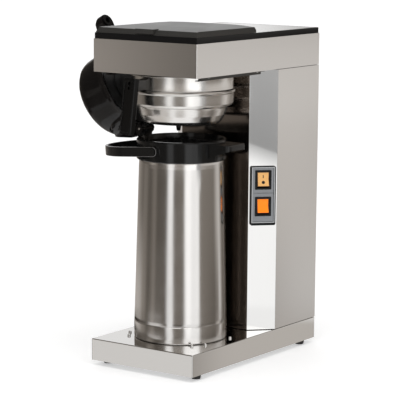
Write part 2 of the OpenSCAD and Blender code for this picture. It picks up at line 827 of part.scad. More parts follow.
// Insulated leads: from the block to the two switches, from the switches over the thermostat and the thermal
// cut-out to the heater's two terminals, and a short earth lead
module wiring() {
    z_run = z_deck + 8;
    z_under = z_boiler - 13.5;
    tag_y = boiler_y - boiler_r - 14;
    upper = rocker_z[0];
    lower = rocker_z[1];
    turn_u = tag_l + 11.5;
    turn_l = tag_l + 5.5;
    live_u = behind_strip(tag_x, turn_u, z_run);
    live_l = behind_strip(tag_x, turn_l, z_run);
    out_u = behind_strip(-tag_x, turn_u, z_boiler + 80);
    out_l = behind_strip(-tag_x, turn_l, z_boiler + 52);
    color("firebrick") {
        pipe([[pad_x(1), block_y, z_run], [pad_x(1), live_u.y, z_run], live_u,
              behind_strip(tag_x, turn_u, upper), behind_strip(tag_x, tag_l, upper)], lead_r);
        pipe([[pad_x(2), block_y, z_run], [pad_x(2), live_l.y, z_run], live_l,
              behind_strip(tag_x, turn_l, lower), behind_strip(tag_x, tag_l, lower)], lead_r);
        pipe([behind_strip(-tag_x, tag_l, upper), behind_strip(-tag_x, turn_u, upper), out_u,
              [38, tag_y, z_thermostat], [tab_x + 0.4, tag_y, z_thermostat]], lead_r);
        pipe([behind_strip(-tag_x, tag_l, lower), behind_strip(-tag_x, turn_l, lower), out_l,
              [40, tag_y, z_cutout], [tab_x + 0.4, tag_y, z_cutout]], lead_r);
        pipe([[-tab_x - 0.4, tag_y, z_thermostat], [-44, tag_y, z_thermostat], [-44, tag_y, z_under],
              [-44, boiler_y, z_under], [-heater_x, boiler_y, z_under],
                  [-heater_x, boiler_y, z_boiler - 9]], lead_r);
        pipe([[-tab_x - 0.4, tag_y, z_cutout], [-20, tag_y, z_cutout], [-20, tag_y, z_under],
              [heater_x, tag_y, z_under], [heater_x, boiler_y, z_under],
                  [heater_x, boiler_y, z_boiler - 9]], lead_r);
        pipe([[pad_x(0), block_y, z_run], [pad_x(0), block_y - 12, z_run],
            [pad_x(0), block_y - 12, z_deck]], lead_r);
    }
}

// Cable gland in the back cover; the lead itself is not part of the model
module cable_gland() {
    color("black") translate([gland_x, y_back, gland_z]) rotate([-90, 0, 0]) difference() {
        union() {
            cylinder(h = 5, r = 12, $fn = 6);
            translate([0, 0, 5]) cylinder(h = 9, r1 = 9.5, r2 = 8);
            translate([0, 0, -14]) cylinder(h = 15, r = gland_r);
        }
        translate([0, 0, -20]) cylinder(h = 60, r = cable_r);
    }
}

module gland_nut() {
    color("dimgray") translate([gland_x, y_back - sheet, gland_z]) rotate([90, 0, 0]) difference() {
        cylinder(h = 5, r = 12, $fn = 6);
        translate([0, 0, -1]) cylinder(h = 10, r = gland_r);
    }
}

// ---- Switches ---------------------------------------------------------------------------------

module switch_bezel() {
    color("#3c4046") on_strip(bezel_z) linear_extrude(4.5) difference() {
        round_rect(bezel_w, bezel_h, 3);
        translate([0, 1.5]) square([bezel_w - 7 + 0.4, bezel_h - 9 + 0.4], center = true);
    }
}

module switch_plate() {
    color("#9a9da0") difference() {
        on_strip(bezel_z) translate([0, 1.5, 0]) linear_extrude(panel_t)
            square([bezel_w - 7, bezel_h - 9], center = true);
        for (z = rocker_z)
            on_strip(z) cube([housing_w + 0.4, housing_h + 0.4, 20], center = true);
        on_strip(bezel_z + rocker_offset) translate([0, 0, panel_t]) cube([bezel_w, 1, 1.2], center = true);
    }
}

module switch_housings() {
    color("#1d1d1f") for (z = rocker_z)
        on_strip(z) difference() {
            union() {
                translate([0, 0, -26]) linear_extrude(26 + panel_t)
                    square([housing_w, housing_h], center = true);
                translate([0, 0, panel_t]) linear_extrude(1.6) round_rect(housing_w + 2, housing_h + 2, 1);
                for (x = [-tag_x, tag_x])
                    translate([x - 0.5, -3, -tag_l]) cube([1, 6, 9]);
            }
            translate([0, 0, -10]) linear_extrude(30)
                square([rocker_w + 0.8, rocker_h + 2.4], center = true);
            translate([0, 0, rocker_pivot]) rotate([0, 90, 0])
                cylinder(h = rocker_w + 4, r = 1.5 + pin_gap, center = true, $fn = 48);
        }
}

// A rocker with two slanted faces, tipped with its upper half pressed in
module rocker(z) {
    half = rocker_h / 2;
    rise = half * tan(rocker_tilt);
    on_strip(z) translate([0, 0, rocker_pivot]) rotate([-rocker_tilt, 0, 0])
        translate([0, 0, -rocker_pivot]) {
        rotate([90, 0, 90]) linear_extrude(rocker_w, center = true)
            polygon([[-half, 2.6 + rise], [0, 2.6], [half, 2.6 + rise], [half, -1], [half - 4, -6],
                [-half + 4, -6], [-half, -1]]);
        translate([0, 0, rocker_pivot]) rotate([0, 90, 0])
            cylinder(h = rocker_w + 3.4, r = 1.5, center = true, $fn = 48);
    }
}

module power_rocker() {
    color("#f2c27a") rocker(rocker_z[0]);
}

module brew_rocker() {
    color("#f59a23") rocker(rocker_z[1]);
}

// ---- Filter basket ----------------------------------------------------------------------------

// The basket's outer line, from its rim down to its floor: an upper wall, a bead, a second tier, a step and a bowl
basket_line = [
    [basket_r + rim_w, z_rim + rim_t], [basket_r + rim_w, z_rim], [basket_r, z_rim],
        [basket_r, z_rim - 21.5],
    [basket_r + 2.6, z_rim - 23.2], [basket_r + 3.4, z_rim - 25.2], [basket_r + 2.6, z_rim - 27.2],
    [basket_r + 0.8, z_rim - 28.8], [basket_r - 0.5, z_rim - 45], [basket_r - 2.5, z_rim - 48.5],
    [basket_r - 8.5, z_rim - 50.5], [basket_r - 9.5, z_rim - 53], [basket_r - 10.5, z_rim - 56],
    [basket_r - 13, z_rim - 64], [basket_r - 18, z_rim - 73], [basket_r - 22, z_basket + 1.2],
        [basket_r - 23.6, z_basket]
];

module filter_basket() {
    last = len(basket_line) - 1;
    // the same line one wall further in, above the bowl's floor
    inner = [for (i = [2 : last - 1])
        [basket_line[i].x - basket_wall, max(basket_line[i].y, z_basket + basket_wall)]];
    color("silver") difference() {
        on_axis() rotate_extrude() polygon(concat(
            [[0, z_basket + basket_wall], [0, z_basket]], [for (i = [last : -1 : 0]) basket_line[i]],
            [[basket_r - basket_wall, z_rim + rim_t]], inner
        ));
        at_drip(z_basket - 5) cylinder(h = 12, r = drip_r);
    }
}

// Places children at the drip hole
module at_drip(z) {
    on_axis(z) rotate(handle_turn) translate([nozzle_off, 0, 0]) children();
}

// Nozzle that snaps into the hole in the basket's floor, with a flange on both sides
module drip_nozzle() {
    bore = 1.6;
    flange = drip_r + 3;
    color("black") at_drip(z_basket) rotate_extrude() polygon([
        [bore, -nozzle_l], [drip_r - 1, -nozzle_l], [drip_r, 6 - nozzle_l], [drip_r, -1.5], [flange, -1.5],
        [flange, 0], [drip_r, 0], [drip_r, basket_wall], [drip_r + 1, basket_wall],
        [drip_r + 1, basket_wall + 1], [bore, basket_wall + 1]
    ]);
}

// Places children at the handle: X outwards from the basket's axis, Z at the rim
module at_handle() {
    on_axis(z_rim) rotate(handle_turn) children();
}

// Folded steel neck between the basket and the grip
module basket_bracket() {
    reach = grip_reach - grip_t;
    color("silver") difference() {
        at_handle() difference() {
            span([basket_r - 6, -neck_w / 2, neck_z0], [reach + 2, neck_w / 2, neck_z1]);
            span([basket_r - 6, neck_wall - neck_w / 2, neck_z0 - 1],
                 [reach - neck_wall - 1, neck_w / 2 - neck_wall, neck_z1 - neck_wall]);
            beyond_grip();
            for (z = grip_screw_z)
                translate([0, 0, z]) rotate([0, 90, 0]) cylinder(h = FULL, r = grip_screw_r, $fn = 32);
        }
        on_axis() cylinder(h = FULL * 2, r = basket_r);
    }
}

// Everything beyond the grip's inner face
module beyond_grip() {
    at_grip() translate([-grip_t, -50, -grip_h - 20]) cube([100, 100, grip_h + 60]);
}

// Places children at the top of the grip's outer face
module at_grip() {
    translate([grip_reach, 0, grip_top]) rotate([0, -grip_lean, 0]) children();
}

module basket_grip() {
    sunk = 3.5;
    color("black") at_handle() difference() {
        at_grip() difference() {
            translate([-grip_t / 2, 0, -grip_h]) linear_extrude(grip_h) round_rect(grip_t, grip_w, 2.5);
            // shallow panels on the outer and inner faces
            translate([-1.2, 0, -grip_h / 2 - 1]) rotate([90, 0, 90])
                linear_extrude(5) round_rect(grip_w - 7, grip_h - 9, 2);
            translate([-grip_t - 3.8, 0, -grip_h / 2 - 14]) rotate([90, 0, 90])
                linear_extrude(5) round_rect(grip_w - 9, grip_h - 42, 3);
        }
        for (z = grip_screw_z) translate([0, 0, z]) rotate([0, 90, 0]) {
            cylinder(h = FULL, r = grip_screw_r, $fn = 32);
            translate([0, 0, grip_reach - sunk]) cylinder(h = FULL, r = grip_screw_r * 2 + 0.2, $fn = 32);
        }
    }
}

module grip_screws() {
    sunk = 3.5;
    color("darkgray") at_handle() for (z = grip_screw_z)
        translate([grip_reach - sunk, 0, z]) rotate([0, 90, 0])
            screw(grip_screw_r, grip_t - sunk + 4, grip_screw_r * 2, 1.6);
}

// Wire rack that keeps the paper filter off the wall
module filter_rack() {
    low = z_basket + basket_wall;
    ribs = 12;
    color("gainsboro") on_axis() difference() {
        union() {
            translate([0, 0, low]) rotate_extrude()
                polygon([[rack_low_r - 12, 0], [rack_low_r, 0], [rack_low_r, 2], [rack_low_r - 12, 2]]);
            translate([0, 0, low + 26]) rotate_extrude()
                polygon([[rack_r - 2, 0], [rack_r, 0], [rack_r, 2], [rack_r - 2, 2]]);
            for (i = [0 : ribs - 1])
                rotate(i * 360 / ribs) rotate([90, 0, 0]) linear_extrude(1.6, center = true)
                    polygon([
                        [rack_low_r - 2.5, low + 1], [rack_low_r - 0.5, low + 1],
                        [rack_r - 0.3, low + 27], [rack_r - 1.9, low + 27]
                    ]);
        }
        for (i = [0 : 7])
            rotate(i * 45 + 22.5) translate([rack_low_r - 6.5, 0, low - 1])
                cylinder(h = 6, r = 2.5, $fn = 24);
    }
}

// ---- Pump flask -------------------------------------------------------------------------------

shell_line = [
    [flask_r - 0.3, z_flask + flask_foot_h], [flask_r - 0.6, z_flask + flask_foot_h + 18],
    [flask_r - 3, z_flask + 143], [flask_top_r + 0.6, z_shell_top - 10], [flask_top_r, z_shell_top]
];

module flask_shell() {
    color("silver") on_axis() rotate_extrude() polygon(wall_profile(shell_line, shell_t));
}

module flask_foot() {
    r = flask_r;
    z1 = z_flask + flask_foot_h;
    color("silver") on_axis() rotate_extrude() polygon(concat(
        [[0, z_flask + 3], [r - 16, z_flask + 3], [r - 13, z_flask]], [[r - 2, z_flask]],
            arc(r - 2, z_flask + 2, 2, -90, 0, 4),
        [[r, z1 - 1.4], [r - 0.9, z1 - 0.7], [r - 0.9, z1], [r - foot_wall, z1],
            [r - foot_wall, z_flask + 4.2],
         [0, z_flask + 4.2]]
    ));
}

// Inner vessel: a straight bottle with a domed shoulder and a narrow neck
module flask_liner() {
    r = flask_top_r - shell_t - 5;
    z0 = z_flask + 4.2;
    z1 = z_shell_top - 44;
    t = 1;
    outer = concat([[0, z0 + 6], [r - 14, z0]], arc(r - 12, z0 + 12, 12, -80, 0, 5), [[r, z1]],
        arc(r - 26, z1, 26, 12, 78, 5), [[neck_r + 1, z1 + 30], [neck_r + 1, z_shell_top]]);
    inner = [for (i = [len(outer) - 1 : -1 : 1])
        [outer[i].x - t, outer[i].y + (i < 3 ? t : 0) - (i > 8 && i < 14 ? t * 0.6 : 0)]];
    color("whitesmoke") on_axis() rotate_extrude() polygon(concat(outer, inner, [[0, z0 + 6 + t]]));
}

// Moulded ring that tops the steel shell: a nose on the side away from the hinge, bosses and ledges for the
// bail, and the bracket of the lid hinge
module flask_collar() {
    z0 = z_shell_top;
    z1 = z_collar_top;
    mouth_r = stopper_r;
    color("#1c1c1e") on_axis() difference() {
        union() {
            rotate_extrude() polygon([
                [neck_r + 1, z0], [collar_r - 1.5, z0], [collar_r, z0 + 1.5], [collar_r, z1 - 2],
                    [collar_r - 2, z1],
                [collar_r - 5, z1], [collar_r - 7, z1 - 9], [mouth_r, z0 + 12], [mouth_r, z0 + 6],
                    [neck_r + 1, z0 + 6]
            ]);
            intersection() {
                linear_extrude(FULL * 2) tongue(collar_r - 6, nose_reach, nose_w, 8);
                rotate([90, 0, 0]) linear_extrude(nose_w + 2, center = true)
                    polygon([[collar_r - 6, z0 + 8], [collar_r, z0 + 8], [nose_reach, z0 + 22],
                        [nose_reach, z1 - 5],
                             [nose_reach - 3, z1 - 3], [collar_r - 3, z1 - 3], [collar_r - 6, z1 - 8]]);
            }
            for (s = [-1, 1]) {
                translate([0, s * (boss_y - 9), bail_z]) rotate([-s * 90, 0, 0]) cylinder(h = 9, r = boss_r);
                translate([ledge_x - 3, s < 0 ? -bail_arm_y - 1 : collar_r - 10, ledge_z - 4])
                    cube([6, bail_arm_y + 11 - collar_r, 4]);
            }
            translate([cap_hinge_x, 0, cap_hinge_z]) rotate([90, 0, 0])
                cylinder(h = hinge_w, r = barrel_r, center = true);
            translate([cap_hinge_x - barrel_r, -hinge_w / 2, z0 + 10])
                cube([barrel_r * 2, hinge_w, cap_hinge_z - z0 - 10]);
        }
        for (s = [-1, 1])
            translate([0, s * (boss_y - 7), bail_z]) rotate([-s * 90, 0, 0])
                cylinder(h = 20, r = bail_pin_r);
        translate([cap_hinge_x, 0, cap_hinge_z]) rotate([90, 0, 0])
            cylinder(h = 60, r = hinge_pin_r, center = true);
    }
}

// Brew-through stopper: coffee runs down its middle, and the dip tube hangs in it
module flow_stopper() {
    z0 = z_shell_top;
    color("#333333") on_axis() difference() {
        rotate_extrude() polygon([
            [8, z0 - 14], [neck_r - 1, z0 - 12], [neck_r, z0 - 8], [neck_r, z0 + 6],
                [stopper_r - 0.1, z0 + 6],
            [stopper_r - 0.1, z0 + 9], [neck_r - 6, z0 + 9], [12, z0 - 6], [8, z0 - 6]
        ]);
        translate([dip_x, 0, z0 - 30]) cylinder(h = 60, r = dip_r, $fn = 32);
    }
}

module dip_tube() {
    z0 = z_flask + 24;
    color("ivory") on_axis() translate([dip_x, 0, z0]) difference() {
        union() {
            cylinder(h = z_shell_top + 12 - z0, r = dip_r, $fn = 32);
            cylinder(h = 6, r = 6, $fn = 32);
        }
        translate([0, 0, -1]) cylinder(h = FULL, r = 2.2, $fn = 32);
    }
}

// U-shaped band that swings on the collar
module bail_handle() {
    r = bail_arm_y;
    run = bail_reach - r - bail_t / 2;
    pin_r = bail_pin_r + pin_gap;
    color("black") on_axis(bail_z) rotate([0, -bail_drop, 0]) difference() {
        union() {
            translate([0, 0, -bail_h / 2]) linear_extrude(bail_h) {
                for (s = [-1, 1])
                    translate([-run, s * r - bail_t / 2]) square([run, bail_t]);
                translate([-run, 0]) difference() {
                    circle(r + bail_t / 2);
                    circle(r - bail_t / 2);
                    translate([0, -FULL / 2]) square(FULL);
                }
            }
            for (s = [-1, 1])
                translate([0, s * (r - bail_t / 2), 0]) rotate([-s * 90, 0, 0])
                    cylinder(h = bail_t, r = bail_h / 2);
        }
        for (s = [-1, 1])
            translate([0, s * (r - 10), 0]) rotate([-s * 90, 0, 0]) cylinder(h = 20, r = pin_r);
    }
}

// Headed pins that the bail swings on
module bail_pivots() {
    length = bail_arm_y + bail_t / 2 + gap - boss_y + 7;
    color("dimgray") on_axis(bail_z) for (s = [-1, 1])
        translate([0, s * (boss_y - 7), 0]) rotate([-s * 90, 0, 0]) {
            cylinder(h = length, r = bail_pin_r);
            translate([0, 0, length]) cylinder(h = 2, r = bail_pin_r * 2);
        }
}

// ---- Pump lid, drawn closed and turned open about its hinge -----------------------------------
// Its own heights are counted from its rim.

module cap_hinge_pin() {
    color("lightgray") translate([cap_hinge_x, y_axis, cap_hinge_z]) rotate([90, 0, 0])
        cylinder(h = barrel_w, r = hinge_pin_r, center = true);
}

// The lid's outer line, from its rim up to its top
cap_line = [
    [cap_r - 0.8, 0], [cap_r, 1], [cap_r, 4], [cap_r - 0.6, 5], [cap_r - 0.2, 30], [cap_r - 1.2, cap_h - 14],
    [cap_r - 3, cap_h - 7], [cap_r - 6.5, cap_h - 2.5], [cap_r - 12, cap_h]
];

// Dome of the lid, with the well that the button runs in
module cap_dome() {
    skin = cap_r - cap_wall - 0.8;
    rotate_extrude() polygon(concat(
        [[well_r, cap_h]], [for (i = [len(cap_line) - 1 : -1 : 0]) cap_line[i]],
        [[skin, 0], [skin, cap_h - 15], [cap_r - 14, cap_h - cap_wall],
            [well_r + cap_wall, cap_h - cap_wall],
         [well_r + cap_wall, cap_h - well_h], [well_r, cap_h - well_h]]
    ));
}

// Housing of the hinge: a hump on the back of the lid, narrow at the pin and wide above it
module cap_hump() {
    top = cap_h - 7;
    knee = h_hinge + 9;
    intersection() {
        rotate([90, 0, 0]) linear_extrude(2 * hump_w, center = true) {
            polygon([[-cap_r + 8, 5], [cap_hinge_x, h_hinge - barrel_r],
                [cap_hinge_x - barrel_r, h_hinge - 3],
                     [hump_x, h_hinge + 4], [hump_x, h_hinge + 15], [-cap_r + 3, top], [-cap_r + 8, top]]);
            translate([cap_hinge_x, h_hinge]) circle(barrel_r);
        }
        rotate([90, 0, 90]) linear_extrude(4 * cap_r, center = true)
            polygon([[-barrel_w / 2, 0], [barrel_w / 2, 0], [barrel_w / 2, knee], [hump_w / 2, knee + 7],
                     [hump_w / 2, top - 9], [hump_w / 2 - 7, top], [7 - hump_w / 2, top],
                         [-hump_w / 2, top - 9],
                     [-hump_w / 2, knee + 7], [-barrel_w / 2, knee]]);
        linear_extrude(cap_h)
            polygon([[-30, hump_w], [cap_hinge_x + 14, hump_w / 2 + 2], [hump_x, hump_w / 2 - 4],
                     [hump_x, 4 - hump_w / 2], [cap_hinge_x + 14, -hump_w / 2 - 2], [-30, -hump_w]]);
    }
}

// Raised rib that frames the hump: on each side it curves from the hump down to the rim
module cap_ribs() {
    intersection() {
        cylinder(h = cap_h, r = cap_r + 3.5);
        for (s = [-1, 1])
            rotate([90, 0, -90]) linear_extrude(cap_r * 2) scale([s, 1]) polygon([
                [hump_w / 2 - 4, 50], [36, 48], [43, 44], [48, 37], [50.5, 24], [51, 8],
                [48.5, 13], [43, 28], [34, 32], [hump_w / 2 - 4, 33]
            ]);
    }
}

// Flat spout beside the rim
module cap_spout() {
    intersection() {
        linear_extrude(cap_h) tongue(cap_r - 8, spout_reach, spout_w, spout_w / 2 - 1);
        rotate([90, 0, 0]) linear_extrude(spout_w + 2, center = true)
            polygon([[cap_r - 8, 0.5], [cap_r - 8, 24], [cap_r + 8, 20], [spout_reach - 12, 15],
                     [spout_reach - 3, 11], [spout_reach, 7], [spout_reach, 0.5]]);
    }
}

module cap_shell() {
    slot = hinge_w / 2 + gap;
    color("#222224") open_cap() difference() {
        union() {
            cap_dome();
            difference() {
                union() {
                    cap_hump();
                    cap_ribs();
                    cap_spout();
                }
                cylinder(h = FULL, r = cap_r - cap_wall - 0.4, center = true);
            }
        }
        translate([cap_hinge_x, 0, h_hinge]) rotate([90, 0, 0])
            cylinder(h = barrel_w + 2, r = hinge_pin_r + pin_gap, center = true);
        // room for the collar's bracket, all the way from closed to open
        translate([hump_x - 1, -slot, -1]) cube([-cap_r + 8 - hump_x, slot * 2, h_hinge + barrel_r + 2]);
        translate([hump_x - 1, -slot, -1]) cube([-cap_r - 0.4 - hump_x, slot * 2, h_hinge + 19]);
        // the way of the coffee, and the seat of the outlet ring
        translate([cap_r - 9, 0, 9]) rotate([0, 90, 0]) cylinder(h = outlet_x - cap_r + 9, r = 4, $fn = 48);
        translate([outlet_x, 0, -1]) cylinder(h = 5, r = outlet_r);
        translate([outlet_x, 0, 3]) cylinder(h = 7, r = 5);
    }
}

// Outlet ring under the spout
module spout_nozzle() {
    color("dimgray") open_cap() translate([outlet_x, 0, 0]) difference() {
        union() {
            translate([0, 0, 0.5]) cylinder(h = 3.5, r = outlet_r);
            translate([0, 0, -2]) cylinder(h = 2.5, r = outlet_r + 1.5);
        }
        translate([0, 0, -3]) cylinder(h = 10, r = 5);
    }
}

// Floor of the lid, with the collar that holds the bellows
module cap_underplate() {
    skin = cap_r - cap_wall - 0.8;
    t = 2.4;
    color("#101012") open_cap() rotate_extrude() polygon([
        [bellows_r, h_shelf], [skin, h_shelf], [skin, h_shelf + t], [bellows_r + t, h_shelf + t],
        [bellows_r + t, h_shelf + 11], [bellows_r, h_shelf + 11]
    ]);
}

// Rubber bellows that the button squeezes
module pump_bellows() {
    folds = 4;
    low = 3;
    step = (cap_h + button_rise - button_skirt - button_travel - low - 0.5) / folds;
    top = low + folds * step;
    color("#3a3a3a") open_cap() rotate_extrude() polygon(concat(
        [[0, low], [20, low]],
        [for (i = [0 : folds - 1])
            each [[bellows_r - 7, low + i * step], [bellows_r - (i > 0 ? 1 : 0), low + (i + 0.5) * step]]],
        [[bellows_r - 7, top], [0, top]]
    ));
}

module pump_button() {
    top = cap_h + button_rise;
    r = button_r;
    color("#111111") open_cap() rotate_extrude() polygon(concat(
        [[0, top - button_skirt + 6], [r - 6, top - button_skirt + 6], [r - 6, top - button_skirt],
         [r, top - button_skirt], [r, top - 2]],
        arc(r - 2, top - 2, 2, 0, 90, 4), [[0, top - 1.2]]
    ));
}

base_pan();
base_plate();
base_pillars();
plate_screws();
rubber_feet();
foot_bushes();
locating_studs();
column_front();
left_side_panel();
right_side_panel();
back_cover();
back_screws();
head_shell();
head_soffit();
basket_rails();
rail_screws();
spray_head();
spray_pipe();
top_frame();
top_plate();
fill_tray();
fill_strainer();
water_tank();
tank_shelf();
outlet_hose();
boiler();
heating_element();
thermostat();
thermal_cutout();
terminal_block();
wiring();
cable_gland();
gland_nut();
switch_bezel();
switch_plate();
switch_housings();
fill_lid_pins();
fill_lid();
power_rocker();
brew_rocker();
filter_basket();
basket_bracket();
basket_grip();
grip_screws();
filter_rack();
drip_nozzle();
flask_shell();
flask_foot();
flask_liner();
flask_collar();
flow_stopper();
dip_tube();
bail_handle();
bail_pivots();
cap_hinge_pin();
cap_shell();
cap_underplate();
pump_bellows();
pump_button();
spout_nozzle();
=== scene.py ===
import json
import math

import bmesh
import bpy
import numpy as np
from bpy.props import FloatProperty, FloatVectorProperty, IntProperty, PointerProperty
from bpy.types import Operator, Panel, PropertyGroup
from mathutils import Matrix, Vector
from mathutils.bvhtree import BVHTree


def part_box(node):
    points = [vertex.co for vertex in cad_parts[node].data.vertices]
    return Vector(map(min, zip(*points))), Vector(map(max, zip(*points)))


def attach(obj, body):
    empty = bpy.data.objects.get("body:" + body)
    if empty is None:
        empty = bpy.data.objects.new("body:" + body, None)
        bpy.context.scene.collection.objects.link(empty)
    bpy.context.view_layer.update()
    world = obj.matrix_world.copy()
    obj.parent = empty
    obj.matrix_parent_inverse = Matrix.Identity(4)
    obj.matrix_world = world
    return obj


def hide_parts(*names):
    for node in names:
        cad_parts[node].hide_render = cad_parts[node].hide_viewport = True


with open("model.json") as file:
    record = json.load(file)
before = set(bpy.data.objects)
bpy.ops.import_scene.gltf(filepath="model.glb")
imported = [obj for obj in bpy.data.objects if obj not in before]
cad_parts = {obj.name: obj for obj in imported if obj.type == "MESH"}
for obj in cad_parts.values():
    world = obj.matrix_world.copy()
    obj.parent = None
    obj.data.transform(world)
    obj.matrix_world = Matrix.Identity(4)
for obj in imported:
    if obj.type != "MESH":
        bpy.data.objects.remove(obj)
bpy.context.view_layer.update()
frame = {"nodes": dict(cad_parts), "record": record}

bl_info = {
    "name": "Drip coffee maker",
    "version": (1, 0, 0),
    "blender": (4, 5, 0),
    "location": "View3D > Sidebar > Coffee maker",
    "description": "Finished looks for a drip coffee maker with a pump flask",
    "category": "Object",
}

NODES = frame["nodes"]
# Corners of a node nearer than this are one corner, and heights or sides nearer than SAME are the same
WELD = 5e-6
SAME = 1e-5
# Angle between faces below which they are one flat face, above which an edge is softened, and above which it is sharp
FLAT_ANGLE = 0.4
SOFT_ANGLE = 35
SHARP_ANGLE = 30
# Room left around a part that sits in a frame or a hole
PLAY = 0.0003


def centre(node):
    low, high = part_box(node)
    return (Vector(low) + Vector(high)) / 2


# The flask's, basket's and shower's common upright axis
AXIS = Vector((0.0, centre("flask_shell").y, 0.0))


# ---- Settings a user can change -------------------------------------------------------------------


def grey(v):
    return (v, v, v, 1)


def length(name, text, default):
    return FloatProperty(name=name, description=text, default=default, unit="LENGTH", precision=5)


def colour(name, text, default):
    return FloatVectorProperty(name=name, description=text, default=default, size=4, min=0, max=1, subtype="COLOR")


class CoffeeSizes(PropertyGroup):
    hem: length("Hem", "Radius of the folded edges of the head", 0.0010)
    base_fold: length("Base fold", "Radius of the folded upper edges of the base", 0.0014)
    # The lens's dark rim is painted shade
    lens_rim: length("Lens rim", "Width of the dark rim around a switch lens", 0.0011)
    # The line around the switch plate is a painted highlight
    edging: length("Edging", "Width of the line around the switch plate", 0.0013)
    highlight_line_height: length("Highlight line height", "How far that line stands out", 0.0002)
    seam: length("Seam", "Open seam between the cabinet's panels", 0.0008)
    turned_edge: length("Turned edge", "Radius of the corners of turned parts", 0.0004)
    mark_height: length("Mark height", "How far the marks stand on a switch lens", 0.0002)
    mark_rise: length("Mark distance", "Distance of each mark from the middle of the lens", 0.0048)
    turned_steps: IntProperty(name="Turned steps", description="Segments around a turned part", default=160, min=24)


class CoffeeFinishes(PropertyGroup):
    steel: colour("Steel", "Satin stainless steel", (0.775, 0.765, 0.755, 1))
    bright_steel: colour("Bright steel", "Polished stainless steel", (0.74, 0.735, 0.725, 1))
    flask_steel: colour("Flask steel", "Brushed steel of the flask", (0.66, 0.645, 0.63, 1))
    black: colour("Black", "Glossy black plastic", grey(0.006))
    frame_black: colour("Frame black", "Satin black plastic of the head's frame", (0.004, 0.004, 0.0045, 1))
    lid_black: colour("Lid black", "Brownish black plastic of the fill lid", (0.026, 0.025, 0.023, 1))
    amber: colour("Amber", "Lit amber lens", (0.64, 0.35, 0.122, 1))
    orange: colour("Orange", "Lit orange lens", (0.90, 0.20, 0.003, 1))


class CoffeeStage(PropertyGroup):
    floor_size: length("Floor size", "Edge of the floor", 60.0)
    floor_glow: FloatProperty(name="Floor glow", description="Light that the paper floor gives off", default=0.32)
    sky: FloatProperty(name="Sky", description="Strength of the soft surrounding light", default=1.10)
    key: FloatProperty(name="Key light", description="Power of the overhead lamp", default=10.0)
    tent_radius: length("Tent radius", "Distance of the reflected light tent", 1.2)


# ---- Shader groups --------------------------------------------------------------------------------


def new_group(name, inputs, outputs):
    tree = bpy.data.node_groups.new(name, "ShaderNodeTree")
    for kind, label, default in inputs:
        socket = tree.interface.new_socket(name=label, in_out="INPUT", socket_type=kind)
        if default is not None:
            socket.default_value = default
    for kind, label in outputs:
        tree.interface.new_socket(name=label, in_out="OUTPUT", socket_type=kind)
    return tree, tree.nodes.new("NodeGroupInput"), tree.nodes.new("NodeGroupOutput")


def node(tree, kind, inputs=(), **values):
    """A node with its own values, and its inputs given as {input: socket or value}."""
    made = tree.nodes.new(kind)
    for key, value in values.items():
        setattr(made, key, value)
    feed(tree, made, dict(inputs))
    return made


def value(tree, kind, inputs=(), **values):
    """The first output of a node."""
    return node(tree, kind, inputs, **values).outputs[0]


def feed(tree, made, inputs):
    for key, value in inputs.items():
        if isinstance(value, bpy.types.NodeSocket):
            tree.links.new(value, made.inputs[key])
        else:
            made.inputs[key].default_value = value


def maths(tree, operation, a, b=0.0, c=0.0):
    return value(tree, "ShaderNodeMath", {0: a, 1: b, 2: c}, operation=operation)


def mixed(tree, factor, a, b):
    """Two colours mixed: inputs 6 and 7 and output 2 are the node's colour sockets."""
    return node(tree, "ShaderNodeMix", {0: factor, 6: a, 7: b}, data_type="RGBA").outputs[2]


def ramp(tree, factor, stops):
    made = node(tree, "ShaderNodeValToRGB", {"Fac": factor})
    elements = made.color_ramp.elements
    while len(elements) > 1:
        elements.remove(elements[-1])
    elements[0].position, elements[0].color = stops[0][0], stops[0][1]
    for position, shade in stops[1:]:
        elements.new(position).color = shade
    return made.outputs["Color"]


def noise(tree, place, scale, detail, rough=0.5):
    return node(tree, "ShaderNodeTexNoise", {"Vector": place, "Scale": scale, "Detail": detail, "Roughness": rough})


SURFACE_OUTPUTS = [("NodeSocketColor", "Color"), ("NodeSocketFloat", "Roughness"), ("NodeSocketFloat", "Height")]


def brushed_group():
    """Fine drawn lines, as a polishing belt leaves them. Stretch is large along the lines."""
    tree, start, end = new_group(
        "brushed lines",
        [
            ("NodeSocketVector", "Vector", None),
            ("NodeSocketVector", "Stretch", (2.0, 2.0, 900.0)),
            ("NodeSocketColor", "Base", grey(0.6)),
            ("NodeSocketFloat", "Contrast", 0.12),
            ("NodeSocketFloat", "Roughness", 0.3),
            ("NodeSocketFloat", "Spread", 0.1),
        ],
        SURFACE_OUTPUTS,
    )
    g = start.outputs
    place = value(tree, "ShaderNodeVectorMath", {0: g["Vector"], 1: g["Stretch"]}, operation="MULTIPLY")
    lines = noise(tree, place, 1.0, 5.0, 0.6).outputs[0]
    cloud = noise(tree, g["Vector"], 9.0, 3.0).outputs[0]
    both = maths(tree, "MULTIPLY_ADD", cloud, 0.35, maths(tree, "MULTIPLY", lines, 0.65))
    low = maths(tree, "MULTIPLY", g["Contrast"], maths(tree, "SUBTRACT", both, 0.5))
    shade = maths(tree, "ADD", 1.0, maths(tree, "MULTIPLY", low, 2.0))
    dark = value(tree, "ShaderNodeVectorMath", {0: g["Base"], "Scale": shade}, operation="SCALE")
    rough = maths(tree, "MULTIPLY_ADD", maths(tree, "SUBTRACT", both, 0.5), g["Spread"], g["Roughness"])
    tree.links.new(dark, end.inputs["Color"])
    tree.links.new(maths(tree, "MAXIMUM", rough, 0.02), end.inputs["Roughness"])
    tree.links.new(lines, end.inputs["Height"])
    return tree


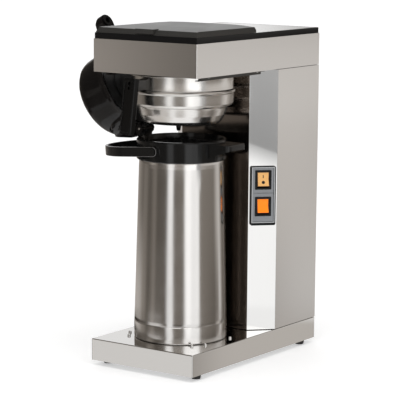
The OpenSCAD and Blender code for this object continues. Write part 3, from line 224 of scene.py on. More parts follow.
def smudge_group():
    """Faint wiping marks and fingerprints: duller in soft patches."""
    tree, start, end = new_group(
        "wiping marks",
        [
            ("NodeSocketVector", "Vector", None),
            ("NodeSocketFloat", "Scale", 14.0),
            ("NodeSocketFloat", "Amount", 0.08),
            ("NodeSocketFloat", "Roughness", 0.1),
        ],
        [("NodeSocketFloat", "Roughness")],
    )
    g = start.outputs
    bend = noise(tree, g["Vector"], 5.0, 2.0).outputs["Color"]
    bent = {0: bend, 1: (0.08, 0.08, 0.08), 2: g["Vector"]}
    place = value(tree, "ShaderNodeVectorMath", bent, operation="MULTIPLY_ADD")
    spots = noise(tree, place, g["Scale"], 4.0, 0.55).outputs[0]
    mask = value(tree, "ShaderNodeMapRange", {"Value": spots, "From Min": 0.45, "From Max": 0.72})
    tree.links.new(maths(tree, "MULTIPLY_ADD", mask, g["Amount"], g["Roughness"]), end.inputs["Roughness"])
    return tree


def mould_group():
    """The fine grain of a spark-eroded mould, with a faint change of tone."""
    tree, start, end = new_group(
        "moulded grain",
        [
            ("NodeSocketVector", "Vector", None),
            ("NodeSocketColor", "Base", grey(0.02)),
            ("NodeSocketFloat", "Scale", 1400.0),
            ("NodeSocketFloat", "Tone", 0.25),
            ("NodeSocketFloat", "Roughness", 0.3),
            ("NodeSocketFloat", "Spread", 0.12),
        ],
        SURFACE_OUTPUTS,
    )
    g = start.outputs
    cells = {"Vector": g["Vector"], "Scale": g["Scale"]}
    fine = value(tree, "ShaderNodeTexVoronoi", cells, feature="SMOOTH_F1")
    cloud = noise(tree, g["Vector"], 22.0, 4.0).outputs[0]
    shade = maths(tree, "MULTIPLY_ADD", maths(tree, "SUBTRACT", cloud, 0.5), g["Tone"], 1.0)
    tone = value(tree, "ShaderNodeVectorMath", {0: g["Base"], "Scale": shade}, operation="SCALE")
    rough = maths(tree, "MULTIPLY_ADD", maths(tree, "SUBTRACT", cloud, 0.5), g["Spread"], g["Roughness"])
    tree.links.new(tone, end.inputs["Color"])
    tree.links.new(maths(tree, "MAXIMUM", rough, 0.02), end.inputs["Roughness"])
    tree.links.new(fine, end.inputs["Height"])
    return tree


# ---- Materials ------------------------------------------------------------------------------------

MATERIALS = {}


def blank_material(name, metallic, **sockets):
    made = bpy.data.materials.new(name)
    made.use_nodes = True
    tree = made.node_tree
    shader = tree.nodes["Principled BSDF"]
    shader.inputs["Metallic"].default_value = metallic
    for key, value in sockets.items():
        shader.inputs[key.replace("_", " ")].default_value = value
    where = tree.nodes.new("ShaderNodeTexCoord").outputs["Object"]
    MATERIALS[name] = made
    return made, tree, shader, where


def coated(name, metallic, group, settings, smudge, relief, depth, sockets):
    """A material with a shader group for its tone, roughness and relief, and wiping marks over it."""
    _, tree, shader, where = blank_material(name, metallic, **sockets)
    look = node(tree, "ShaderNodeGroup", node_tree=bpy.data.node_groups[group])
    wiped = node(tree, "ShaderNodeGroup", node_tree=bpy.data.node_groups["wiping marks"])
    feed(tree, look, {"Vector": where, **settings})
    feed(tree, wiped, {"Vector": where, "Amount": smudge, "Roughness": look.outputs["Roughness"]})
    feed(tree, shader, {"Base Color": look.outputs["Color"], "Roughness": wiped.outputs["Roughness"]})
    if relief:
        bump = node(tree, "ShaderNodeBump", {"Height": look.outputs["Height"], "Strength": relief, "Distance": depth})
        tree.links.new(bump.outputs[0], shader.inputs["Normal"])
    return tree, shader, look


def brushed(name, base, rough, stretch, contrast=0.10, spread=0.1, bump=0.05, smudge=0.05, **sockets):
    """Brushed metal."""
    settings = {"Stretch": stretch, "Base": base, "Contrast": contrast, "Roughness": rough, "Spread": spread}
    return coated(name, 1.0, "brushed lines", settings, smudge, bump, BRUSHED_DEPTH, sockets)


def moulded(name, base, rough, scale=1400.0, tone=0.25, spread=0.1, bump=0.08, smudge=0.05, **sockets):
    """Moulded plastic, rubber or ceramic."""
    settings = {"Base": base, "Scale": scale, "Tone": tone, "Roughness": rough, "Spread": spread}
    return coated(name, 0.0, "moulded grain", settings, smudge, bump, MOULDED_DEPTH, sockets)


# Depth of the finest relief, and how far the drawn lines are stretched in each direction
BRUSHED_DEPTH = 0.00006
MOULDED_DEPTH = 0.00005
ALONG_X = (3.0, 900.0, 900.0)
ALONG_Y = (900.0, 3.0, 900.0)
ALONG_Z = (900.0, 900.0, 3.0)
AROUND_Z = (2.0, 2.0, 1100.0)


def make_materials():
    look = bpy.context.scene.coffee_finishes
    brushed_group()
    smudge_group()
    mould_group()
    steel, bright, flask, black, frame_black, lid_black, amber, orange = (
        tuple(getattr(look, key)) for key in CoffeeFinishes.__annotations__)
    brushed("satin case steel", steel, 0.24, AROUND_Z, contrast=0.04, spread=0.05, bump=0.0, smudge=0.0)
    brushed("polished base steel", bright, 0.055, ALONG_X, contrast=0.02, spread=0.02, bump=0.0, smudge=0.02)
    brushed("mirror steel", bright, 0.05, ALONG_Z, contrast=0.02, spread=0.02, bump=0.0, smudge=0.03)
    # A darker, browner copy of the polished column steel with strong streaks: painted shade and painted reflection of
    # the flask and basket on the column's face
    brushed("column steel", (0.30, 0.27, 0.245, 1), 0.12, ALONG_Z, contrast=0.25, spread=0.05, bump=0.0, smudge=0.03)
    brushed("flask steel", flask, 0.155, AROUND_Z, contrast=0.06, spread=0.08, bump=0.03)
    brushed("basket steel", (0.75, 0.735, 0.715, 1), 0.21, AROUND_Z, contrast=0.06, spread=0.08, bump=0.0)
    brushed("plain sheet", (0.50, 0.51, 0.52, 1), 0.42, ALONG_X, contrast=0.10)
    # Steel sheet made dark as painted shade: the soffit and rails in the shadow under the head, and the basket
    # bracket as a painted reflection of the dark grip and cap
    brushed("shaded sheet", (0.09, 0.088, 0.085, 1), 0.42, ALONG_X, contrast=0.10)
    brushed("top sheet", bright, 0.20, ALONG_Y, contrast=0.05)
    brushed("tank steel", (0.55, 0.56, 0.57, 1), 0.38, ALONG_Z, contrast=0.12, smudge=0.15)
    brushed("bright wire", (0.66, 0.66, 0.65, 1), 0.16, AROUND_Z, bump=0.0)
    brushed("plated screw", (0.62, 0.62, 0.61, 1), 0.24, AROUND_Z, bump=0.02)
    brushed("blackened screw", grey(0.03), 0.38, AROUND_Z, bump=0.02)
    brushed("turned brass", (0.75, 0.55, 0.24, 1), 0.28, AROUND_Z, contrast=0.10)
    brushed("heated sheath", (0.30, 0.26, 0.23, 1), 0.45, AROUND_Z, contrast=0.3, smudge=0.2)
    moulded("frame plastic", frame_black, 0.30, Specular_IOR_Level=0.25)
    # Paler than the black it edges: a painted highlight along the softened edges of black parts, with a real higher
    # gloss
    moulded("polished edge", (0.075, 0.072, 0.070, 1), 0.18, bump=0.0, smudge=0.02, Specular_IOR_Level=1.0)
    moulded("grip plastic", grey(0.0025), 0.08, bump=0.02, smudge=0.04, Specular_IOR_Level=0.20)
    moulded("glossy black", black, 0.12, bump=0.02, smudge=0.06, Specular_IOR_Level=0.33)
    moulded("cap plastic", (0.004, 0.0035, 0.0035, 1), 0.09, bump=0.02, smudge=0.06, Specular_IOR_Level=0.26)
    moulded("lid plastic", lid_black, 0.34, bump=0.10, Specular_IOR_Level=0.58)
    moulded("foot rubber", grey(0.012), 0.7, scale=700, bump=0.2)
    moulded("bellows rubber", grey(0.012), 0.55, scale=700, bump=0.12)
    brushed("stud steel", bright, 0.12, AROUND_Z, bump=0.0)
    moulded("pale plastic", (0.78, 0.76, 0.70, 1), 0.35, tone=0.08, bump=0.06)
    moulded("silicone", (0.72, 0.71, 0.67, 1), 0.42, tone=0.08, bump=0.04, Transmission_Weight=0.15)
    moulded("cream ceramic", (0.72, 0.66, 0.52, 1), 0.55, tone=0.15, bump=0.12)
    moulded("wire covering", (0.40, 0.03, 0.02, 1), 0.5, scale=900, bump=0.2)
    moulded("nylon", grey(0.02), 0.42)
    moulded("bezel plastic", (0.006, 0.007, 0.008, 1), 0.35, Specular_IOR_Level=0.12)
    brushed("switch metal", (0.27, 0.28, 0.295, 1), 0.42, ALONG_Z, contrast=0.08)
    moulded("housing plastic", grey(0.006), 0.25, Specular_IOR_Level=0.15)
    # Dark brown for a lens's rim: painted shade where the lit lens dips into its frame
    moulded("lens edge", (0.10, 0.03, 0.012, 1), 0.35, bump=0.02)
    # Pale metal for the line around the switch plate: a painted highlight of the plate's bright edges
    brushed("pale edging", (0.46, 0.47, 0.48, 1), 0.35, ALONG_Z, bump=0.0)
    moulded("ink", (0.03, 0.02, 0.015, 1), 0.5, bump=0.0)
    for name, shade, glow in (("amber lens", amber, 0.43), ("orange lens", orange, 0.48)):
        tree, shader, grain = moulded(
            name, shade, 0.34, tone=0.10, bump=0.03, Specular_IOR_Level=0.25, Emission_Strength=glow)
        tree.links.new(grain.outputs["Color"], shader.inputs["Emission Color"])


# ---- Making pieces --------------------------------------------------------------------------------

NODE_BODY = {member: body for body, members in frame["record"]["behaviour"]["bodies"].items() for member in members}


def finish_piece(piece, materials, replaced):
    """Puts a piece's materials on, has it stand for its CAD nodes and ride on their body."""
    piece.data.materials.clear()
    for name in materials:
        piece.data.materials.append(MATERIALS[name])
    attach(piece, NODE_BODY[replaced[0]])
    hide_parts(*replaced)
    return piece


def added(name, data):
    """A new object in the scene."""
    thing = bpy.data.objects.new(name, data)
    bpy.context.scene.collection.objects.link(thing)
    return thing


def new_piece(name, bm):
    mesh = bpy.data.meshes.new(name)
    bm.to_mesh(mesh)
    bm.free()
    mesh.shade_smooth()
    mesh.set_sharp_from_angle(angle=math.radians(SHARP_ANGLE))
    return added(name, mesh)


def extra_piece(name, bm, material, body):
    """A piece that stands for no CAD node of its own, and has the material slot of another."""
    piece = new_piece(name, bm)
    piece.data.materials.append(MATERIALS[material])
    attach(piece, body)


def soften(piece, width, segments=2):
    edge = piece.modifiers.new("soft edges", "BEVEL")
    edge.width = width
    edge.segments = segments
    edge.limit_method = "ANGLE"
    edge.angle_limit = math.radians(SOFT_ANGLE)
    edge.harden_normals = True


def two_faced(cad_node, bm, second, width, materials):
    """A softened piece whose faces that pass a test have its second material."""
    piece = new_piece(cad_node + "_finished", bm)
    indices = [int(second(polygon)) for polygon in piece.data.polygons]
    soften(piece, width)
    finish_piece(piece, materials, [cad_node])
    piece.data.polygons.foreach_set("material_index", indices)


def welded(cad_node):
    bm = bmesh.new()
    bm.from_mesh(NODES[cad_node].data)
    bmesh.ops.remove_doubles(bm, verts=bm.verts, dist=WELD)
    return bm


def merged(cad_node):
    bm = welded(cad_node)
    flat = math.radians(FLAT_ANGLE)
    bmesh.ops.dissolve_limit(bm, angle_limit=flat, verts=bm.verts, edges=bm.edges, delimit={"NORMAL"})
    return bm


def dressed(cad_node, material, edge=0.0, rim=None, shape=None):
    """A node's own shape with its corners merged and its edges softened, which stands for it."""
    bm = merged(cad_node)
    if shape:
        shape(bm)
    piece = new_piece(cad_node + "_finished", bm)
    if edge:
        soften(piece, edge, 3 if rim else 2)
        # The softened edges take the second material; on the black parts this is a painted highlight
        if rim:
            piece.modifiers["soft edges"].material = 1
    elif shape:
        piece.modifiers.new("flat faces", "WEIGHTED_NORMAL").keep_sharp = True
    return finish_piece(piece, [material, rim] if rim else [material], [cad_node])


def open_seams(bm):
    """Draws a panel's upper and lower ends back, so that a fine dark seam shows there."""
    seam = bpy.context.scene.coffee_sizes.seam
    low, high = min(v.co.z for v in bm.verts), max(v.co.z for v in bm.verts)
    for v in bm.verts:
        if v.co.z < low + SAME:
            v.co.z = low + seam
        elif v.co.z > high - SAME:
            v.co.z = high - seam


def round_outer_edges(bm, cad_node, level, radius):
    """Rounds the outer upright corners of a box, and its outer edges at one height, as a folded sheet has them."""
    low, high = (Vector(corner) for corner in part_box(cad_node))

    def outside(v):
        return min(abs(v.co.x - low.x), abs(v.co.x - high.x), abs(v.co.y - low.y), abs(v.co.y - high.y)) < SAME

    def wanted(edge):
        a, b = edge.verts
        upright = abs(a.co.x - b.co.x) < SAME and abs(a.co.y - b.co.y) < SAME
        flat = level is not None and abs(a.co.z - level) < SAME and abs(b.co.z - level) < SAME
        return outside(a) and outside(b) and (upright or flat)

    edges = [edge for edge in bm.edges if wanted(edge)]
    bmesh.ops.bevel(bm, geom=edges, offset=radius, offset_type="OFFSET", segments=4, profile=0.5, affect="EDGES")


def fold_head(bm):
    round_outer_edges(bm, "head_shell", None, bpy.context.scene.coffee_sizes.hem)


def fold_base(bm):
    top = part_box("base_pan")[1][2]
    round_outer_edges(bm, "base_pan", top, bpy.context.scene.coffee_sizes.base_fold)


def rocker_piece(cad_node, lens):
    """A lit lens with a dark rim where it dips into its frame: painted shade on the lens's edges."""
    outward, _ = strip_directions()
    bm = merged(cad_node)
    front = [face for face in bm.faces if face.normal.dot(outward) > 0.5]
    rim = bmesh.ops.inset_region(bm, faces=front, thickness=bpy.context.scene.coffee_sizes.lens_rim)["faces"]
    for face in bm.faces:
        face.material_index = 0 if face in front and face not in rim else 1
    two_faced(cad_node, bm, lambda polygon: polygon.material_index, 0.0005, [lens, "lens edge"])


def draw_plate_highlight():
    """A pale raised line that frames the switch plate on its bezel: a painted highlight standing for the plate's
    bright edges.
    """
    outward, across = strip_directions()
    sizes = bpy.context.scene.coffee_sizes
    points = [Vector(v.co) for v in NODES["switch_plate"].data.vertices]
    middle = centre("switch_plate")
    half_w = max(abs((p - middle).dot(across)) for p in points) + PLAY
    half_h = max(abs(p.z - middle.z) for p in points) + PLAY
    front = max(Vector(v.co).dot(outward) for v in NODES["switch_bezel"].data.vertices)
    base = middle + outward * (front - middle.dot(outward))
    wide, high, sunk = sizes.edging, sizes.highlight_line_height, -0.0004
    bm = bmesh.new()
    loops = []
    for grow, rise in ((0.0, sunk), (0.0, high), (wide, high), (wide, sunk)):
        start = base + outward * rise
        loops.append([bm.verts.new(start + across * x * (half_w + grow) + Vector((0, 0, z * (half_h + grow))))
                      for x, z in ((-1, -1), (1, -1), (1, 1), (-1, 1))])
    for i in range(4):
        for j in range(4):
            k = (j + 1) % 4
            bm.faces.new((loops[i][j], loops[i][k], loops[(i + 1) % 4][k], loops[(i + 1) % 4][j]))
    bmesh.ops.recalc_face_normals(bm, faces=bm.faces)
    extra_piece("switch_plate_edging", bm, "pale edging", "cabinet")


def column_piece():
    """The folded column: polished corner strips, and its face behind the flask in a darker, browner steel with strong
    streaks: painted shade and painted reflection.
    """
    bm = merged("column_front")
    open_seams(bm)
    face = min(v.co.y for v in bm.verts)

    def forward(polygon):
        return polygon.normal.y < -0.99 and polygon.center.y < face + 0.0001

    two_faced("column_front", bm, forward, 0.0004, ["mirror steel", "column steel"])


# ---- Pieces that follow a rule ----------------------------------------------------------------------


def geometry_tree(name, inputs):
    """A Geometry Nodes tree with its named inputs, and its two end nodes."""
    tree = bpy.data.node_groups.new(name, "GeometryNodeTree")
    tree.interface.new_socket(name="Geometry", in_out="INPUT", socket_type="NodeSocketGeometry")
    for kind, label, default in inputs:
        socket = tree.interface.new_socket(name=label, in_out="INPUT", socket_type=kind)
        if default is not None:
            socket.default_value = default
    tree.interface.new_socket(name="Material", in_out="INPUT", socket_type="NodeSocketMaterial")
    tree.interface.new_socket(name="Geometry", in_out="OUTPUT", socket_type="NodeSocketGeometry")
    return tree, tree.nodes.new("NodeGroupInput").outputs, tree.nodes.new("NodeGroupOutput")


def close_tree(tree, geometry, g, end):
    whole = value(tree, "GeometryNodeRealizeInstances", {"Geometry": geometry})
    coated = value(tree, "GeometryNodeSetMaterial", {"Geometry": whole, "Material": g["Material"]})
    tree.links.new(coated, end.inputs[0])


def sized(tree, x, y, z):
    return value(tree, "ShaderNodeCombineXYZ", {0: x, 1: y, 2: z})


def placed(tree, mesh, move=(0, 0, 0), scale=(1, 1, 1)):
    return value(tree, "GeometryNodeTransform", {"Geometry": mesh, "Translation": move, "Scale": scale})


def screw_tree():
    """A domed screw with a cross recess on each point, each turned as it came to rest."""
    tree, g, end = geometry_tree(
        "cross-head screws",
        [
            ("NodeSocketFloat", "Head Radius", 0.003),
            ("NodeSocketFloat", "Head Height", 0.0016),
            ("NodeSocketFloat", "Shank Radius", 0.0015),
            ("NodeSocketFloat", "Shank Length", 0.008),
            ("NodeSocketVector", "Facing", (0.0, 0.0, 0.0)),
            ("NodeSocketInt", "Seed", 3),
        ],
    )
    wide, tall, thin, long = g["Head Radius"], g["Head Height"], g["Shank Radius"], g["Shank Length"]
    ball = value(tree, "GeometryNodeMeshUVSphere", {"Segments": 24, "Rings": 12, "Radius": 1.0})
    block = value(tree, "GeometryNodeMeshCube")
    rod = value(tree, "GeometryNodeMeshCylinder", {"Vertices": 16, "Radius": 1.0, "Depth": 1.0})
    dome = placed(tree, ball, scale=sized(tree, wide, wide, tall))
    broad = maths(tree, "MULTIPLY", wide, 3.0)
    below = placed(tree, block, sized(tree, 0.0, 0.0, maths(tree, "MULTIPLY", tall, -1.0)),
                   sized(tree, broad, broad, maths(tree, "MULTIPLY", tall, 2.0)))
    reach, width = maths(tree, "MULTIPLY", wide, 1.15), maths(tree, "MULTIPLY", wide, 0.26)
    top = sized(tree, 0.0, 0.0, tall)
    cuts = [below, placed(tree, block, top, sized(tree, reach, width, tall)),
            placed(tree, block, top, sized(tree, width, reach, tall))]
    head = node(tree, "GeometryNodeMeshBoolean", {"Mesh 1": dome}, operation="DIFFERENCE", solver="EXACT")
    for cut in cuts:
        tree.links.new(cut, head.inputs["Mesh 2"])
    sunk = maths(tree, "MULTIPLY_ADD", tall, 0.3, long)
    half_way = maths(tree, "MULTIPLY_ADD", long, -0.5, maths(tree, "MULTIPLY", tall, 0.15))
    shank = placed(tree, rod, sized(tree, 0.0, 0.0, half_way), sized(tree, thin, thin, sunk))
    whole = node(tree, "GeometryNodeMeshBoolean", operation="UNION", solver="EXACT")
    for part in (head.outputs[0], shank):
        tree.links.new(part, whole.inputs["Mesh 2"])
    facing = value(tree, "FunctionNodeEulerToRotation", {0: g["Facing"]})
    many = node(tree, "GeometryNodeInstanceOnPoints", {
        "Points": g["Geometry"], "Instance": whole.outputs[0], "Rotation": facing,
    })
    # input 3 and output 1 are the largest value and the result for single numbers
    chance = node(tree, "FunctionNodeRandomValue", {3: math.pi, "Seed": g["Seed"]}, data_type="FLOAT").outputs[1]
    spun = node(tree, "GeometryNodeRotateInstances", {
        "Instances": many.outputs[0], "Rotation": sized(tree, 0.0, 0.0, chance),
    })
    close_tree(tree, spun.outputs[0], g, end)
    return tree


def turned_tree():
    """An outline with rounded corners, turned about an upright axis."""
    tree, g, end = geometry_tree(
        "turned part",
        [
            ("NodeSocketFloat", "Corner Radius", 0.0004),
            ("NodeSocketInt", "Steps", 160),
            ("NodeSocketFloat", "Rail Radius", 1.0),
            ("NodeSocketVector", "Centre", (0.0, 0.0, 0.0)),
        ],
    )
    line = value(tree, "GeometryNodeMeshToCurve", {"Mesh": g["Geometry"]})
    corners = {"Curve": line, "Count": 3, "Radius": g["Corner Radius"], "Limit Radius": True}
    line = value(tree, "GeometryNodeFilletCurve", corners, mode="POLY")
    ring = {"Resolution": g["Steps"], "Radius": g["Rail Radius"]}
    rail = value(tree, "GeometryNodeCurvePrimitiveCircle", ring)
    rail = value(tree, "GeometryNodeSetCurveNormal", {"Curve": rail}, mode="Z_UP")
    swept = value(tree, "GeometryNodeCurveToMesh", {"Curve": rail, "Profile Curve": line})
    joined = value(tree, "GeometryNodeMergeByDistance", {"Geometry": swept, "Distance": 1e-6})
    close_tree(tree, placed(tree, joined, g["Centre"]), g, end)
    return tree


def result_mesh(thing):
    return bpy.data.meshes.new_from_object(thing.evaluated_get(bpy.context.evaluated_depsgraph_get()))


def grown(tree, cad_node, material, points, edges, settings):
    """A plain mesh piece that a Geometry Nodes tree makes from points and edges, and that stands for a node."""
    tree = bpy.data.node_groups[tree]
    name = cad_node + "_finished"
    settings["Material"] = MATERIALS[material]
    mesh = bpy.data.meshes.new(name)
    mesh.from_pydata(points, edges, [])
    holder = added(name + "_base", mesh)
    grow = holder.modifiers.new("grow", "NODES")
    grow.node_group = tree
    for item in tree.interface.items_tree:
        if item.in_out == "INPUT" and item.name in settings:
            grow[item.identifier] = settings[item.name]
    result = result_mesh(holder)
    bpy.data.objects.remove(holder)
    bm = bmesh.new()
    bm.from_mesh(result)
    bmesh.ops.recalc_face_normals(bm, faces=bm.faces)
    return finish_piece(new_piece(name, bm), [material], [cad_node])


def islands(cad_node):
    """The corner points of each separate solid of a node."""
    bm = merged(cad_node)
    left, found = set(bm.verts), []
    while left:
        heap, seen = [left.pop()], []
        while heap:
            v = heap.pop()
            seen.append(np.array(v.co))
            for edge in v.link_edges:
                other = edge.other_vert(v)
                if other in left:
                    left.discard(other)
                    heap.append(other)
        found.append(np.array(seen))
    bm.free()
    return found


# How far a corner may lie from a screw's rim or tip and still count to it
SCREW_PLAY = 1e-4


def screw_sizes(points):
    """Place, facing and sizes of one screw, from its corner points."""
    middle = (points.min(0) + points.max(0)) / 2
    facing = np.linalg.eigh(np.cov((points - points.mean(0)).T))[1][:, -1]
    along = (points - middle) @ facing
    across = np.linalg.norm(points - middle - np.outer(along, facing), axis=1)
    rim = along[across > across.max() - SCREW_PLAY]
    if rim.mean() < 0:
        facing, along, rim = -facing, -along, -rim
    seat = middle + facing * rim.min()
    tip = across[along < along.min() + SCREW_PLAY].max()
    return seat, Vector(facing), across.max(), along.max() - rim.min(), tip, rim.min() - along.min()


def screws(cad_node, material, seed):
    rows = [screw_sizes(points) for points in islands(cad_node)]
    rows.sort(key=lambda row: tuple(np.round(row[0], 4)))
    _, facing, wide, tall, thin, long = rows[0]
    return grown("cross-head screws", cad_node, material, [tuple(row[0]) for row in rows], [], {
        "Head Radius": float(wide), "Head Height": float(tall), "Shank Radius": float(thin),
        "Shank Length": float(long), "Facing": tuple(facing.to_track_quat("Z", "Y").to_euler()), "Seed": seed,
    })


# The outline is swept along a ring of this radius, with its own radius counted from there
RAIL = 1.0
# Radius of the flask's corners, where two sheets meet
FLASK_CORNER = 0.00015


def turned(cad_node, material, corner=None):
    """A turned part, from the outline that its node has on the +X side of its axis."""
    sizes = bpy.context.scene.coffee_sizes
    bm = welded(cad_node)
    on_line = {v for v in bm.verts if abs(v.co.y - AXIS.y) < 2 * SAME and v.co.x > -1e-6}
    kept = [edge for edge in bm.edges if all(v in on_line for v in edge.verts)]
    order = {v: i for i, v in enumerate(dict.fromkeys(v for edge in kept for v in edge.verts))}
    points = [(v.co.x - RAIL, -v.co.z, 0.0) for v in order]
    edges = [tuple(order[v] for v in edge.verts) for edge in kept]
    # A flat floor has no line out to the middle: its outline is carried on to the axis
    for v in order:
        if sum(v in edge.verts for edge in kept) == 1 and v.co.x > SAME:
            edges.append((order[v], len(points)))
            points.append((-RAIL, -v.co.z, 0.0))
    bm.free()
    return grown("turned part", cad_node, material, points, edges, {
        "Corner Radius": sizes.turned_edge if corner is None else corner, "Steps": sizes.turned_steps,
        "Rail Radius": RAIL, "Centre": tuple(AXIS),
    })


def drill(piece, through):
    """Cuts the upright hole that a turned node passes through."""
    middle = centre(through)
    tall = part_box(through)[1][2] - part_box(through)[0][2]
    radius = min(math.hypot(v.co.x - middle.x, v.co.y - middle.y) for v in NODES[through].data.vertices) + PLAY
    bm = bmesh.new()
    bmesh.ops.create_cone(bm, cap_ends=True, segments=32, radius1=radius, radius2=radius, depth=2 * tall,
                          matrix=Matrix.Translation(middle))
    mesh = bpy.data.meshes.new("drill")
    bm.to_mesh(mesh)
    bm.free()
    tool = added("drill", mesh)
    cut = piece.modifiers.new("hole", "BOOLEAN")
    cut.operation, cut.object, cut.solver = "DIFFERENCE", tool, "EXACT"
    result = result_mesh(piece)
    piece.modifiers.remove(cut)
    bpy.data.objects.remove(tool)
    piece.data = result


# The signs on the upper switch: the ring's two radii, and the line's width and length
RING_RADII = (0.0027, 0.0015)
LINE_SIZE = (0.0014, 0.0050)


def ring_part(bm, depth):
    """A flat ring about the origin: two open tubes, joined above and below."""
    verts = []
    for radius in RING_RADII:
        verts += bmesh.ops.create_cone(bm, cap_ends=False, segments=28, radius1=radius, radius2=radius,
                                       depth=depth)["verts"]
    level = {e for v in verts for e in v.link_edges if abs(e.verts[0].co.z - e.verts[1].co.z) < 1e-7}
    bmesh.ops.bridge_loops(bm, edges=[e for e in level if e.verts[0].co.z > 0])
    bmesh.ops.bridge_loops(bm, edges=[e for e in level if e.verts[0].co.z < 0])
    return verts


def line_part(bm, depth):
    verts = bmesh.ops.create_cube(bm, size=1.0)["verts"]
    bmesh.ops.scale(bm, vec=(*LINE_SIZE, depth), verts=verts)
    return verts


def lens_marks():
    """The line above and the ring below on the upper switch: the plain signs for on and off."""
    sizes = bpy.context.scene.coffee_sizes
    outward, across = strip_directions()
    mesh = merged("power_rocker")
    tree = BVHTree.FromBMesh(mesh)
    middle = centre("power_rocker")
    made = bmesh.new()
    for rise, make_part in ((sizes.mark_rise, line_part), (-sizes.mark_rise, ring_part)):
        start = middle + Vector((0, 0, rise)) + outward * 0.03
        place, normal, _, _ = tree.ray_cast(start, -outward)
        up = normal.cross(across).normalized()
        if up.z < 0:
            up = -up
        side = up.cross(normal).normalized()
        frame_of = Matrix((side, up, normal)).transposed().to_4x4()
        frame_of.translation = place
        verts = make_part(made, 2 * sizes.mark_height)
        bmesh.ops.transform(made, matrix=frame_of, verts=verts)
    bmesh.ops.recalc_face_normals(made, faces=made.faces)
    mesh.free()
    extra_piece("switch_signs", made, "ink", "power_rocker")


def strip_directions():
    """Outward and sideways directions of the strip, from the longest flat side of the switch bezel."""
    mesh = NODES["switch_bezel"].data
    areas = {}
    for polygon in mesh.polygons:
        key = tuple(round(v, 2) for v in polygon.normal)
        if polygon.normal.y < -0.1 and abs(polygon.normal.z) < 0.1:
            areas[key] = areas.get(key, 0.0) + polygon.area
    outward = Vector(max(areas, key=areas.get)).normalized()
    return outward, Vector((0, 0, 1)).cross(outward).normalized()


DRESS = {
    "Cabinet": [
        ("base_plate", "plain sheet", 0.0003), ("base_pillars", "plain sheet", 0),
        ("rubber_feet", "foot rubber", 0.0008), ("foot_bushes", "turned brass", 0.0002),
        # The soffit and the basket rails take the dark sheet: painted shade
        ("locating_studs", "stud steel", 0), ("head_soffit", "shaded sheet", 0.0003),
        ("basket_rails", "shaded sheet", 0.0003), ("spray_head", "pale plastic", 0.0004),
        ("spray_pipe", "silicone", 0), ("top_frame", "frame plastic", 0.0008), ("top_plate", "top sheet", 0.0004),
        ("fill_tray", "tank steel", 0.0004), ("fill_strainer", "pale plastic", 0.0003),
        ("water_tank", "tank steel", 0.0004), ("tank_shelf", "plain sheet", 0.0003),
        ("outlet_hose", "silicone", 0), ("boiler", "tank steel", 0.0005), ("heating_element", "heated sheath", 0),
        ("thermostat", "cream ceramic", 0.0003), ("thermal_cutout", "cream ceramic", 0.0003),
        ("terminal_block", "cream ceramic", 0.0004), ("wiring", "wire covering", 0),
        ("cable_gland", "nylon", 0.0004), ("gland_nut", "nylon", 0.0004),
        ("switch_bezel", "bezel plastic", 0.0008), ("switch_plate", "switch metal", 0.0003),
        ("switch_housings", "housing plastic", 0.0004), ("fill_lid_pins", "plated screw", 0.0002),
    ],
    "Fill lid": [("fill_lid", "lid plastic", 0.0008)],
    "Filter basket": [
        # The bracket takes the dark sheet: painted shade and a painted reflection of the grip
        ("basket_bracket", "shaded sheet", 0.0003), ("basket_grip", "grip plastic", 0.0012),
        ("filter_rack", "bright wire", 0.0002), ("drip_nozzle", "glossy black", 0.0003),
    ],
    "Flask": [
        ("flask_collar", "glossy black", 0.0006), ("flow_stopper", "glossy black", 0.0004),
        ("dip_tube", "pale plastic", 0), ("bail_pivots", "glossy black", 0.0003),
        ("cap_hinge_pin", "plated screw", 0.0002), ("bail_handle", "glossy black", 0.0008),
    ],
    "Pump lid": [
        ("cap_shell", "cap plastic", 0.0009), ("cap_underplate", "nylon", 0.0004),
        ("pump_bellows", "bellows rubber", 0.0004), ("pump_button", "cap plastic", 0.0005),
        ("spout_nozzle", "glossy black", 0.0003),
    ],
}


GRIP_SEED = 7
# Black parts whose softened edges take a paler, glossier material: partly a real higher gloss, partly a painted
# highlight
EDGED = {"basket_grip": "polished edge", "cap_shell": "polished edge", "bail_handle": "polished edge"}


class PieceMaker:
    """Dresses the nodes listed under an operator's label, then makes its other pieces."""

    def execute(self, context):
        for cad_node, material, edge in DRESS.get(self.bl_label, ()):
            dressed(cad_node, material, edge, EDGED.get(cad_node))
        self.other_pieces()
        return {"FINISHED"}

    def other_pieces(self):
        pass


class COFFEE_OT_cabinet(PieceMaker, Operator):
    """Base, column, head, tank, boiler, wiring and switch panel"""

    bl_idname = "coffee.cabinet"
    bl_label = "Cabinet"

    def other_pieces(self):
        for panel in ("left_side_panel", "right_side_panel", "back_cover"):
            dressed(panel, "satin case steel", 0.0004, shape=open_seams)
        dressed("head_shell", "satin case steel", shape=fold_head)
        dressed("base_pan", "polished base steel", shape=fold_base)
        draw_plate_highlight()
        column_piece()
        for seed, cad_node in enumerate(("plate_screws", "back_screws", "rail_screws")):
            screws(cad_node, "plated screw", seed)


class COFFEE_OT_fill_lid(PieceMaker, Operator):
    """The hinged lid over the fill opening"""

    bl_idname = "coffee.fill_lid"
    bl_label = "Fill lid"


class COFFEE_OT_switches(PieceMaker, Operator):
    """The two lit rocker switches"""

    bl_idname = "coffee.switches"
    bl_label = "Switches"

    def other_pieces(self):
        rocker_piece("power_rocker", "amber lens")
        rocker_piece("brew_rocker", "orange lens")
        lens_marks()


class COFFEE_OT_basket(PieceMaker, Operator):
    """Filter basket, its grip, rack and nozzle"""

    bl_idname = "coffee.basket"
    bl_label = "Filter basket"

    def other_pieces(self):
        screws("grip_screws", "blackened screw", GRIP_SEED)
        drill(turned("filter_basket", "basket steel"), "drip_nozzle")


